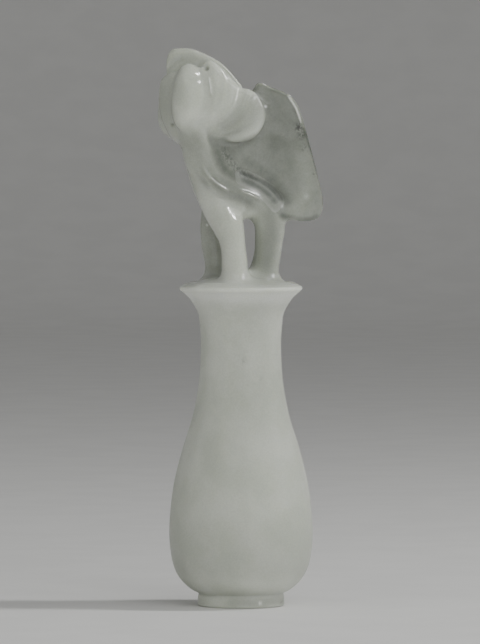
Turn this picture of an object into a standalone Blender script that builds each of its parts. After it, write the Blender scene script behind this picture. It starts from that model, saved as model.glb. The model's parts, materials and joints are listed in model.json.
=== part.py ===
"""A miniature jade vase with a flower and a leaf standing in its mouth, carved from one stone.

The vase is turned about +Z. Three stems rise from a low mound in the closed mouth, lean
together and carry a many-petalled bloom on the left (-X) and a broad cupped leaf on the
right (+X). The origin is the middle of the foot's underside; the front faces -Y.
"""

import math
from typing import NamedTuple

import bmesh
import bpy
import numpy as np
from mathutils import Vector

MM = 0.001

# --- the turned vase, in millimetres ------------------------------------------------------
FOOT_RADIUS = 7.8
FOOT_WAIST_RADIUS = 7.62
FOOT_HEIGHT = 2.3
FOOT_EDGE = 0.4
RECESS_RADIUS = 5.6
RECESS_DEPTH = 0.6
BELLY_RADIUS = 12.87
BELLY_HEIGHT = 14.0
NECK_RADIUS = 7.18
NECK_HEIGHT = 46.9
LIP_RADIUS = 11.0
LIP_HEIGHT = 57.05
LIP_EDGE = 0.42
CREST_RADIUS = 8.7
CREST_HEIGHT = 58.15
CREST_EDGE = 0.5
MOUTH_RADIUS = 8.2
MOUTH_HEIGHT = 57.75

# The flank from under the lip to the foot: (radius, height) knots of one smooth curve.
FLANK = (
    (10.1, 56.0), (9.05, 54.9), (7.8, 52.8), (7.4, 50.6), (NECK_RADIUS, NECK_HEIGHT),
    (7.45, 41.0), (8.55, 34.5), (10.5, 28.1), (12.1, 21.6), (BELLY_RADIUS, BELLY_HEIGHT),
    (12.5, 8.8), (11.4, 5.6), (9.5, 3.4), (FOOT_WAIST_RADIUS, FOOT_HEIGHT),
)

# --- the mound and the stems ---------------------------------------------------------------
MOUND_RADIUS = 8.75
MOUND_HEIGHT = 1.85
MOUND_SINK = 0.2
ROOT_FILLET = 2.3


class Stem(NamedTuple):
    """A stem: the points it passes through, from the bloom down, and its radius at each."""

    path: tuple
    radii: tuple


STEMS = {
    "front": Stem(
        path=(
            (-8.4, -1.6, 82.4), (-7.5, -1.8, 77.8), (-6.1, -2.4, 74.5), (-3.9, -3.6, 71.3),
            (-2.3, -4.4, 68.1), (-1.65, -4.7, 65.2), (-1.35, -4.7, 63.0), (-1.15, -4.6, 60.8),
            (-1.0, -4.5, 57.6),
        ),
        radii=(2.3, 2.15, 2.2, 2.6, 2.75, 2.4, 2.3, 2.4, 2.4),
    ),
    "right, arching over from the bloom's neck": Stem(
        path=(
            (-7.2, -0.4, 86.0), (-6.9, -1.5, 82.2), (-5.6, -2.1, 79.3), (-3.1, -2.7, 76.7),
            (0.2, -2.9, 75.0), (3.1, -2.2, 73.2), (4.8, -1.5, 70.5), (5.15, -0.9, 67.1),
            (4.9, -0.4, 63.9), (4.6, 0.0, 60.8), (4.7, 0.2, 57.6),
        ),
        radii=(2.2, 3.4, 3.2, 2.8, 2.65, 2.5, 2.5, 2.65, 2.5, 2.55, 2.6),
    ),
    "back": Stem(
        path=(
            (-8.2, -0.4, 84.0), (-7.4, -0.4, 79.6), (-6.4, 0.6, 75.4), (-5.2, 2.2, 71.6),
            (-4.7, 3.4, 68.0), (-4.6, 3.9, 64.8), (-4.2, 4.0, 61.2), (-4.2, 4.0, 57.6),
        ),
        radii=(2.6, 2.6, 2.4, 2.2, 2.4, 2.3, 2.25, 2.3),
    ),
    "leaf stalk, behind the right stem": Stem(
        path=(
            (-6.2, -0.4, 82.6), (-5.0, -0.4, 79.2), (-2.4, -0.9, 76.6), (0.6, -1.0, 74.7),
            (3.3, -0.4, 72.5), (5.0, 0.3, 70.2),
        ),
        radii=(1.8, 1.9, 1.9, 2.0, 2.0, 1.9),
    ),
}


class Ellipsoid(NamedTuple):
    """An upright ellipsoid."""

    centre: tuple
    half_sizes: tuple


# The stone left between the front and the right stem, over and under their gap.
STEM_WEBS = (
    Ellipsoid((0.2, -2.7, 72.15), (4.4, 1.5, 2.9)),
    Ellipsoid((1.6, -2.4, 59.3), (2.0, 1.6, 1.2)),
)

# --- the bloom -----------------------------------------------------------------------------


class Petal(NamedTuple):
    """One thick, spoon-shaped petal."""

    base: tuple
    tip: tuple
    outward: tuple  # the way its back faces
    half_width: float
    widest: float  # the share of its length at which it is widest
    blunt: float  # 0.5 ends it in an oval, less makes its ends squarer
    bulge: float  # how far its back swells outwards
    wrap: float  # how far its sides bend inwards, as a share of its half width
    curl: float  # how far its tip bends outwards
    thickness: float


PETALS = {
    "front": Petal(
        (-8.6, -3.8, 83.0), (-9.0, -6.2, 97.0), (-0.05, -1.0, 0.05),
        half_width=3.6, widest=0.52, blunt=0.40, bulge=2.8, wrap=0.30, curl=-0.3, thickness=2.1,
    ),
    "left": Petal(
        (-9.6, -1.0, 81.8), (-12.8, -0.8, 95.2), (-1.0, -0.20, -0.15),
        half_width=3.9, widest=0.48, blunt=0.38, bulge=2.7, wrap=0.30, curl=-0.3, thickness=1.8,
    ),
    "left, at the back": Petal(
        (-9.8, 1.2, 81.6), (-12.4, 2.8, 92.5), (-0.95, 0.5, -0.3),
        half_width=3.8, widest=0.42, blunt=0.40, bulge=2.8, wrap=0.35, curl=-0.2, thickness=1.6,
    ),
    "back, the tallest": Petal(
        (-11.0, 1.2, 84.0), (-8.8, 2.6, 100.2), (0.0, 1.0, 0.0),
        half_width=4.5, widest=0.72, blunt=0.28, bulge=2.2, wrap=0.32, curl=-0.5, thickness=1.7,
    ),
    "right, at the front": Petal(
        (-4.9, -1.8, 83.0), (-5.2, -2.1, 97.6), (0.15, -0.98, 0.05),
        half_width=4.9, widest=0.50, blunt=0.55, bulge=2.9, wrap=0.26, curl=-0.2, thickness=2.0,
    ),
    "right, spreading": Petal(
        (-5.4, -0.8, 84.4), (4.1, -2.6, 88.4), (0.05, -0.95, -0.20),
        half_width=4.2, widest=0.70, blunt=0.38, bulge=1.5, wrap=0.32, curl=-0.2, thickness=2.0,
    ),
    "right, behind the spreading one": Petal(
        (-2.4, 0.6, 83.6), (1.3, -0.7, 92.9), (0.15, -0.95, -0.10),
        half_width=3.3, widest=0.62, blunt=0.42, bulge=1.6, wrap=0.25, curl=0.0, thickness=2.0,
    ),
    "right, at the back": Petal(
        (-6.6, 1.2, 84.0), (-4.4, 2.2, 97.6), (0.3, 1.0, 0.0),
        half_width=3.9, widest=0.66, blunt=0.40, bulge=2.0, wrap=0.30, curl=-0.2, thickness=1.7,
    ),
}

# The stone inside the bloom: its heart, its left side, the part behind the spreading petal
# and its narrow foot.
BLOOM_CORES = (
    Ellipsoid((-6.4, -0.9, 88.2), (5.2, 4.0, 6.0)),
    Ellipsoid((-9.8, -0.4, 86.0), (4.3, 4.0, 4.1)),
    Ellipsoid((-1.2, 0.8, 87.2), (3.6, 2.4, 3.4)),
    Ellipsoid((-7.5, -1.7, 82.4), (3.3, 3.2, 5.0)),
)

# How plate-like a petal and the leaf are across their thickness: 1 is a plain lens.
PETAL_FULLNESS = 0.6
LEAF_FULLNESS = 0.8

# --- the leaf ------------------------------------------------------------------------------
# Its rim seen from the front, as (x, z) in order round it, and a point inside it.
LEAF_RIM = (
    (1.2, 92.2), (2.6, 93.9), (5.4, 93.0), (8.1, 91.9), (9.9, 90.2), (10.9, 87.8), (12.1, 83.7),
    (13.9, 76.7), (14.8, 72.4), (13.9, 69.5), (11.3, 68.9), (7.2, 69.7), (3.4, 72.4), (-2.0, 76.4),
    (-5.6, 80.4), (-5.8, 85.5), (-2.0, 91.0),
)
LEAF_INSIDE = (4.2, 81.0)
LEAF_THICKNESS = 3.0
# The leaf is deepest here. Its two sides and its ends come forward, and its lower right end
# turns under.
LEAF_DEEPEST = (7.5, 2.9, 82.4)
LEAF_AXIS_ANGLE = -37.0
LEAF_HALF_WIDTH = 10.0
LEAF_HALF_LENGTH = 12.0
LEAF_UPPER_SIDE_FORWARD = 2.5
LEAF_LOWER_SIDE_FORWARD = 0.9
LEAF_ENDS_FORWARD = 1.2
LEAF_TURN_START = 7.0
LEAF_TURN_BACK = 0.10

# --- fineness and finish -------------------------------------------------------------------
TURNED_STEPS = 56
FLANK_SPANS = 2
STEM_SPANS = 6
LEAF_SPANS = 12
VOXEL = 0.35
STEM_FILLET = 0.45
BLOOM_FILLET = 0.25
JOINT_FILLET = 0.45
STEM_POLISH = 4
BLOOM_POLISH = 2
JOINT_POLISH = 3
CARVED_SHARE = 0.066
MERGE = 0.00001


def curve_through(knots, spans, closed=False):
    """Points on a smooth curve through the knots: a Catmull-Rom spline, so many spans a knot."""
    knots = [Vector(knot) for knot in knots]
    count = len(knots)

    def knot(i):
        return knots[i % count] if closed else knots[min(max(i, 0), count - 1)]

    points = []
    for i in range(count if closed else count - 1):
        a, b, c, d = (knot(i + step) for step in (-1, 0, 1, 2))
        for step in range(spans):
            t = step / spans
            points.append(
                0.5 * (2 * b + (c - a) * t + (2 * a - 5 * b + 4 * c - d) * t**2
                       + (3 * b - a - 3 * c + d) * t**3)
            )
    if not closed:
        points.append(knots[-1])
    return points


def arc(centre, radius, start, end, steps):
    """Points on an arc in the (radius, height) plane, with its angles in degrees."""
    angles = [math.radians(start + (end - start) * i / steps) for i in range(steps + 1)]
    return [
        (centre[0] + radius * math.cos(angle), centre[1] + radius * math.sin(angle))
        for angle in angles
    ]


def vase_profile():
    """The turned outline as (radius, height) pairs, from the closed mouth down to the foot."""
    mouth = [(0.0, MOUTH_HEIGHT), (MOUTH_RADIUS, MOUTH_HEIGHT)]
    crest = arc((CREST_RADIUS, CREST_HEIGHT - CREST_EDGE), CREST_EDGE, 150, 60, 2)
    lip = arc((LIP_RADIUS - LIP_EDGE, LIP_HEIGHT), LIP_EDGE, 70, -50, 3)
    flank = [tuple(point) for point in curve_through(FLANK, FLANK_SPANS)]
    foot = arc((FOOT_RADIUS - FOOT_EDGE, FOOT_EDGE), FOOT_EDGE, 0, -90, 2)
    recess = [(RECESS_RADIUS, 0.0), (RECESS_RADIUS - RECESS_DEPTH, RECESS_DEPTH), (0.0, RECESS_DEPTH)]
    return mouth + crest + lip + flank + foot + recess


def new_object(name, mesh, collection):
    """A named object for this mesh, in this collection."""
    made = bpy.data.objects.new(name, mesh)
    collection.objects.link(made)
    return made


def turned_body(name, collection):
    """The vase as a profile with a Screw modifier."""
    profile = bmesh.new()
    points = [profile.verts.new((r * MM, 0.0, z * MM)) for r, z in vase_profile()]
    for upper, lower in zip(points, points[1:]):
        profile.edges.new((upper, lower))
    mesh = bpy.data.meshes.new(name)
    profile.to_mesh(mesh)
    profile.free()
    body = new_object(name, mesh, collection)
    screw = body.modifiers.new("turn", "SCREW")
    screw.axis = "Z"
    screw.steps = screw.render_steps = TURNED_STEPS
    screw.use_merge_vertices = True
    screw.merge_threshold = MERGE
    return body


def add_pebble(shape, place, around=32, across=18):
    """Adds a sphere whose every point is moved by place(x, y, z), with z its thin way."""
    made = bmesh.ops.create_uvsphere(shape, u_segments=around, v_segments=across, radius=1.0)
    for vertex in made["verts"]:
        vertex.co = place(*vertex.co) * MM


def fuller(z, fullness):
    """The height z on a unit sphere, raised so that the sphere becomes a plate with a round rim."""
    return math.copysign(abs(z) ** fullness, z)


def add_petal(shape, petal):
    """Adds one petal: a sphere flattened, widened and bent about its spine."""
    base, tip, outward = Vector(petal.base), Vector(petal.tip), Vector(petal.outward)
    along = (tip - base).normalized()
    outward = (outward - outward.dot(along) * along).normalized()
    side = along.cross(outward)
    skew = math.log(0.5) / math.log(petal.widest)

    def place(x, y, z):
        t = (y + 1.0) / 2.0
        reach = math.sqrt(max(0.0, 1.0 - y * y))
        share = x / reach if reach > 0.0 else 0.0
        even = t**skew
        width = petal.half_width * max(0.0, 4.0 * even * (1.0 - even)) ** petal.blunt
        spine = base.lerp(tip, t) + outward * (petal.bulge * 4.0 * t * (1.0 - t) + petal.curl * t**3)
        across = side * (share * width) - outward * (petal.wrap * share * share * width)
        return spine + across + outward * (fuller(z, PETAL_FULLNESS) * petal.thickness / 2.0)

    add_pebble(shape, place)


def add_ellipsoid(shape, ellipsoid):
    """Adds an upright ellipsoid."""
    centre, half_sizes = Vector(ellipsoid.centre), Vector(ellipsoid.half_sizes)
    add_pebble(shape, lambda *point: centre + half_sizes * Vector(point))


def leaf_depth(x, z):
    """Where the middle of the leaf's thickness lies in y, at this place seen from the front."""
    axis = math.radians(LEAF_AXIS_ANGLE)
    dx, dz = x - LEAF_DEEPEST[0], z - LEAF_DEEPEST[2]
    along = dx * math.cos(axis) + dz * math.sin(axis)
    across = dz * math.cos(axis) - dx * math.sin(axis)
    side_forward = LEAF_UPPER_SIDE_FORWARD if across > 0.0 else LEAF_LOWER_SIDE_FORWARD
    forward = side_forward * (across / LEAF_HALF_WIDTH) ** 2
    forward += LEAF_ENDS_FORWARD * (along / LEAF_HALF_LENGTH) ** 2
    forward -= LEAF_TURN_BACK * max(0.0, along - LEAF_TURN_START) ** 2
    return LEAF_DEEPEST[1] - forward


def add_leaf(shape):
    """Adds the broad leaf: a thick plate inside its rim, cupped towards the front."""
    inside = Vector(LEAF_INSIDE)
    rim = curve_through([(*(Vector(point) - inside), 0.0) for point in LEAF_RIM], LEAF_SPANS, closed=True)
    angles = [math.atan2(point.y, point.x) for point in rim]
    lengths = [point.length for point in rim]

    def place(x, y, z):
        angle = math.atan2(y, x)
        out = math.hypot(x, y) * np.interp(angle, angles, lengths, period=math.tau)
        across, up = inside.x + out * math.cos(angle), inside.y + out * math.sin(angle)
        depth = leaf_depth(across, up) + fuller(z, LEAF_FULLNESS) * LEAF_THICKNESS / 2.0
        return Vector((across, depth, up))

    add_pebble(shape, place, 64, 24)


def add_mound(shape):
    """Adds the low mound that fills the mouth."""

    def place(x, y, z):
        rise = MOUND_HEIGHT * z if z > 0.0 else z
        return Vector((x * MOUND_RADIUS, y * MOUND_RADIUS, MOUTH_HEIGHT - MOUND_SINK + rise))

    add_pebble(shape, place, 48, 18)


def root_spread(height):
    """How much wider a stem is at this height over the mouth, from the fillet at its root."""
    left = ROOT_FILLET - min(max(height, 0.0), ROOT_FILLET)
    return ROOT_FILLET - math.sqrt(ROOT_FILLET**2 - left**2)


def add_stem(shape, stem, helpers):
    """Adds one stem: a curve with a round bevel that swells and thins along its path."""
    data = bpy.data.curves.new("stem", "CURVE")
    data.dimensions = "3D"
    data.bevel_depth = MM
    data.bevel_resolution = 6
    data.use_fill_caps = True
    points = curve_through([(*point, radius) for point, radius in zip(stem.path, stem.radii)], STEM_SPANS)
    spline = data.splines.new("POLY")
    spline.points.add(len(points) - 1)
    for spot, (x, y, z, radius) in zip(spline.points, points):
        spot.co = (x * MM, y * MM, z * MM, 1.0)
        spot.radius = radius + root_spread(z - MOUTH_HEIGHT)
    guide = new_object("stem_guide", data, helpers)
    graph = bpy.context.evaluated_depsgraph_get()
    tube = bpy.data.meshes.new_from_object(guide.evaluated_get(graph))
    before = set(shape.verts)
    shape.from_mesh(tube)
    added = [vertex for vertex in shape.verts if vertex not in before]
    bmesh.ops.remove_doubles(shape, verts=added, dist=MERGE / 10)
    bpy.data.objects.remove(guide)
    bpy.data.meshes.remove(tube)


def helper_from(shape, name, helpers):
    """A hidden helper object that holds this shape."""
    bmesh.ops.recalc_face_normals(shape, faces=shape.faces)
    mesh = bpy.data.meshes.new(name)
    shape.to_mesh(mesh)
    shape.free()
    made = new_object(name, mesh, helpers)
    made.hide_render = True
    made.display_type = "WIRE"
    return made


def fuse(obj, fillet, polish):
    """Makes overlapping bodies one and rounds every inner corner to this fillet.

    The fused skin is swelled, fused again and shrunk back, which fills the narrow corners,
    and is then polished in so many passes.
    """
    for step, grow in (("swell", fillet), ("shrink", -fillet)):
        remesh = obj.modifiers.new(f"fuse_to_{step}", "REMESH")
        remesh.mode = "VOXEL"
        remesh.voxel_size = VOXEL * MM
        remesh.use_smooth_shade = True
        move = obj.modifiers.new(step, "DISPLACE")
        move.strength = grow * MM
        move.mid_level = 0.0
    smooth = obj.modifiers.new("polish", "SMOOTH")
    smooth.factor = 0.5
    smooth.iterations = polish


def stems_and_mound(helpers):
    """The stems, the webs between them and the mound they stand in."""
    shape = bmesh.new()
    for stem in STEMS.values():
        add_stem(shape, stem, helpers)
    for web in STEM_WEBS:
        add_ellipsoid(shape, web)
    add_mound(shape)
    made = helper_from(shape, "stems_and_mound", helpers)
    fuse(made, STEM_FILLET, STEM_POLISH)
    return made


def bloom(helpers):
    """The bloom: petals round their cores."""
    shape = bmesh.new()
    for petal in PETALS.values():
        add_petal(shape, petal)
    for core in BLOOM_CORES:
        add_ellipsoid(shape, core)
    made = helper_from(shape, "bloom", helpers)
    fuse(made, BLOOM_FILLET, BLOOM_POLISH)
    return made


def leaf(helpers):
    """The leaf on its own."""
    shape = bmesh.new()
    add_leaf(shape)
    return helper_from(shape, "leaf", helpers)


def carved_group(name, helpers):
    """Stems, bloom and leaf as one fused, softly smoothed body."""
    parts = [make(helpers) for make in (stems_and_mound, bloom, leaf)]
    graph = bpy.context.evaluated_depsgraph_get()
    shape = bmesh.new()
    for part in parts:
        mesh = bpy.data.meshes.new_from_object(part.evaluated_get(graph))
        shape.from_mesh(mesh)
        bpy.data.meshes.remove(mesh)
    group = helper_from(shape, name, helpers)
    fuse(group, JOINT_FILLET, JOINT_POLISH)
    thin = group.modifiers.new("thin", "DECIMATE")
    thin.ratio = CARVED_SHARE
    return group


def jade():
    """Pale, polished nephrite."""
    material = bpy.data.materials.new("pale_jade")
    material.use_nodes = True
    shader = material.node_tree.nodes["Principled BSDF"]
    shader.inputs["Base Color"].default_value = (0.55, 0.57, 0.50, 1.0)
    shader.inputs["Roughness"].default_value = 0.28
    shader.inputs["Metallic"].default_value = 0.0
    return material


def main():
    for old in list(bpy.data.objects):
        bpy.data.objects.remove(old)
    parts = bpy.data.collections.new("jade_vase")
    helpers = bpy.data.collections.new("helpers")
    for collection in (parts, helpers):
        bpy.context.scene.collection.children.link(collection)
    group = carved_group("carving", helpers)
    vase = turned_body("jade_vase", parts)
    join = vase.modifiers.new("one_stone", "BOOLEAN")
    join.operation = "UNION"
    join.solver = "EXACT"
    join.object = group
    vase.data.materials.append(jade())


main()
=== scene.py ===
"""A miniature jade vase with a flower and a leaf standing in its mouth, all one polished stone.

The vase is turned about +Z and faces -Y. Three stems rise from the mound in its closed mouth
and carry a bloom on the left (-X) and a broad, smoky leaf on the right (+X). The stone's
lengths are millimetres, which MM turns into the scene's metres. The studio's are metres.
"""

import json
import logging
import math
from collections.abc import Callable
from dataclasses import dataclass, field
from enum import Enum

import bmesh
import bpy
import numpy as np
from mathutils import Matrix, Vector

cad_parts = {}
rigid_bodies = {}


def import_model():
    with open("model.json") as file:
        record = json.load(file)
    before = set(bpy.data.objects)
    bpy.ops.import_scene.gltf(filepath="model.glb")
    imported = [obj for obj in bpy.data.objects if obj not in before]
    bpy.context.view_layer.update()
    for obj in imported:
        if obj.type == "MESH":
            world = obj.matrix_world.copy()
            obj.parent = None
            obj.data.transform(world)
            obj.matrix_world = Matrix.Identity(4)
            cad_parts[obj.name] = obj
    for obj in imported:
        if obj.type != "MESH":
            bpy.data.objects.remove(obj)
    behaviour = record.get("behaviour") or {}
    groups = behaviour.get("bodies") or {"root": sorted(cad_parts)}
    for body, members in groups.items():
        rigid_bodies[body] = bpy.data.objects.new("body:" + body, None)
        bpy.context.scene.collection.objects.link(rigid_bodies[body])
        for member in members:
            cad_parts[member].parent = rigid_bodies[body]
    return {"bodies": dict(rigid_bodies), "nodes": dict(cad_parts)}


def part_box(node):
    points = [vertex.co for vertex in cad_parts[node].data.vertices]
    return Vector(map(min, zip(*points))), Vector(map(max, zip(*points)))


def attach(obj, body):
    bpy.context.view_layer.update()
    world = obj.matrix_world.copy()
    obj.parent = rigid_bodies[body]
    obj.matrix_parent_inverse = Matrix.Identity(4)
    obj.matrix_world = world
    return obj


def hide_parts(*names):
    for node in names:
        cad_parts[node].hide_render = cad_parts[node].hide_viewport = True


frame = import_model()

MM = 0.001
MERGE = 0.001 * MM  # points nearer to each other than this are one
NODE = "jade_vase"
PIECE = "jade_vase_stone"
BODY = "root"

log = logging.getLogger("jade_vase")

Point2 = tuple[float, float]
Point3 = tuple[float, float, float]
Place = Callable[[float, float, float], Vector]
Number = float | np.ndarray
Socket = bpy.types.NodeSocket


class Trait(Enum):
    """What each point of the stone knows about itself, by the name of its attribute."""

    # how smoky the stone is, and the shade painted onto it
    SMOKE = "smoke_and_shade"
    POLISH = "polish"
    # dark specks, and highlights and glow painted in milky colour
    SPECKS_AND_GLINTS = "specks_and_glints"


# --- curves, meshes and node trees -------------------------------------------------------------


def curve_through(knots: list[Vector], spans: int, closed: bool = False) -> list[Vector]:
    """Finds points on a smooth curve through knots: a Catmull-Rom spline.

    Args:
        knots: The points that the curve passes through, of any dimension.
        spans: How many steps lie between two knots.
        closed: Whether the last knot leads back to the first.

    Returns:
        The points in order, with the last knot where the curve is open.
    """
    count = len(knots)

    def knot(i: int) -> Vector:
        """Returns the knot at this place, past the ends too."""
        return knots[i % count] if closed else knots[min(max(i, 0), count - 1)]

    points = []
    for i in range(count if closed else count - 1):
        a, b, c, d = (knot(i + step) for step in (-1, 0, 1, 2))
        for step in range(spans):
            t = step / spans
            points.append(
                0.5 * (2 * b + (c - a) * t + (2 * a - 5 * b + 4 * c - d) * t**2
                       + (3 * b - a - 3 * c + d) * t**3)
            )
    if not closed:
        points.append(knots[-1])
    return points


def arc(centre: Point2, radius: float, start: float, end: float, steps: int) -> list[Point2]:
    """Finds points on an arc in the plane of radius and height.

    Args:
        centre: The arc's centre as (radius, height).
        radius: The arc's own radius.
        start: Its first angle in degrees, from the outward direction up.
        end: Its last angle.
        steps: How many steps it has.

    Returns:
        The points as (radius, height) pairs.
    """
    angles = [math.radians(start + (end - start) * i / steps) for i in range(steps + 1)]
    return [
        (centre[0] + radius * math.cos(angle), centre[1] + radius * math.sin(angle))
        for angle in angles
    ]


def smoothstep(low: float, high: float, value: Number) -> Number:
    """Rises smoothly from 0 at low to 1 at high, which may be under low."""
    t = np.clip((value - low) / (high - low), 0.0, 1.0)
    return t * t * (3.0 - 2.0 * t)


def new_object(name: str, data: bpy.types.ID) -> bpy.types.Object:
    """Links a new object.

    Args:
        name: The object's name.
        data: Its mesh, curve, lamp or camera.

    Returns:
        The object, in the scene's own collection.
    """
    made = bpy.data.objects.new(name, data)
    bpy.context.scene.collection.objects.link(made)
    return made


def object_from(shape: bmesh.types.BMesh, name: str) -> bpy.types.Object:
    """Turns a shape into an object whose faces point outwards.

    Args:
        shape: The shape, which is freed.
        name: The object's name.

    Returns:
        The object.
    """
    bmesh.ops.recalc_face_normals(shape, faces=shape.faces)
    mesh = bpy.data.meshes.new(name)
    shape.to_mesh(mesh)
    shape.free()
    return new_object(name, mesh)


def baked_mesh(obj: bpy.types.Object, name: str) -> bpy.types.Mesh:
    """Applies an object's modifiers and removes the object.

    Args:
        obj: The object, with its modifiers.
        name: The new mesh's name.

    Returns:
        A plain mesh.
    """
    graph = bpy.context.evaluated_depsgraph_get()
    mesh = bpy.data.meshes.new_from_object(obj.evaluated_get(graph))
    mesh.name = name
    bpy.data.objects.remove(obj)
    return mesh


def points_of(mesh: bpy.types.Mesh) -> np.ndarray:
    """Reads a mesh's points.

    Args:
        mesh: The mesh.

    Returns:
        One row of three numbers in millimetres for each vertex.
    """
    points = np.empty(len(mesh.vertices) * 3, np.float32)
    mesh.vertices.foreach_get("co", points)
    return points.reshape(-1, 3).astype(float) / MM


class Tree:
    """A short way to write a node tree."""

    def __init__(self, tree: bpy.types.NodeTree) -> None:
        """Starts on a tree that may already hold nodes."""
        self.tree = tree

    def node(
        self, kind: str, inputs: dict[str | int, object] | None = None, **settings: object
    ) -> bpy.types.Node:
        """Adds a node.

        Args:
            kind: The node's type name.
            inputs: Its inputs by name or number: a socket is linked, anything else is set.
            **settings: Its own properties.

        Returns:
            The node.
        """
        made = self.tree.nodes.new(kind)
        for name, value in settings.items():
            setattr(made, name, value)
        for key, value in (inputs or {}).items():
            if isinstance(value, Socket):
                self.tree.links.new(value, made.inputs[key])
            else:
                made.inputs[key].default_value = value
        return made

    def math(self, operation: str, *values: Socket | float) -> Socket:
        """Adds a Math node with these operands and gives its output."""
        kind = "ShaderNodeMath"
        return self.node(kind, dict(enumerate(values)), operation=operation).outputs[0]

    def trait(self, trait: Trait) -> Socket:
        """Reads what each point of the stone knows about itself."""
        return self.node("ShaderNodeAttribute", attribute_name=trait.value).outputs["Fac"]

    def ease(
        self, value: Socket, low: float, high: float, to_low: float = 0.0, to_high: float = 1.0
    ) -> Socket:
        """Maps a range of values smoothly onto another.

        Args:
            value: The socket to map.
            low: The value that gives to_low.
            high: The value that gives to_high.
            to_low: The first result.
            to_high: The last result.

        Returns:
            The mapped value.
        """
        inputs = {"Value": value, "From Min": low, "From Max": high}
        inputs |= {"To Min": to_low, "To Max": to_high}
        made = self.node("ShaderNodeMapRange", inputs, interpolation_type="SMOOTHSTEP")
        return made.outputs["Result"]

    def mix(self, share: Socket | float, first: object, second: object, blend: str = "MIX") -> Socket:
        """Mixes two colours.

        Args:
            share: How much of the second shows.
            first: The first colour.
            second: The second colour.
            blend: How they are blended.

        Returns:
            The mixed colour.
        """
        made = self.node("ShaderNodeMix", data_type="RGBA", blend_type=blend)
        sockets = [s for s in made.inputs if s.enabled]
        for socket, value in zip(sockets, (share, first, second)):
            if isinstance(value, Socket):
                self.tree.links.new(value, socket)
            else:
                socket.default_value = value
        return next(s for s in made.outputs if s.enabled)


# --- finishes ----------------------------------------------------------------------------------


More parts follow.
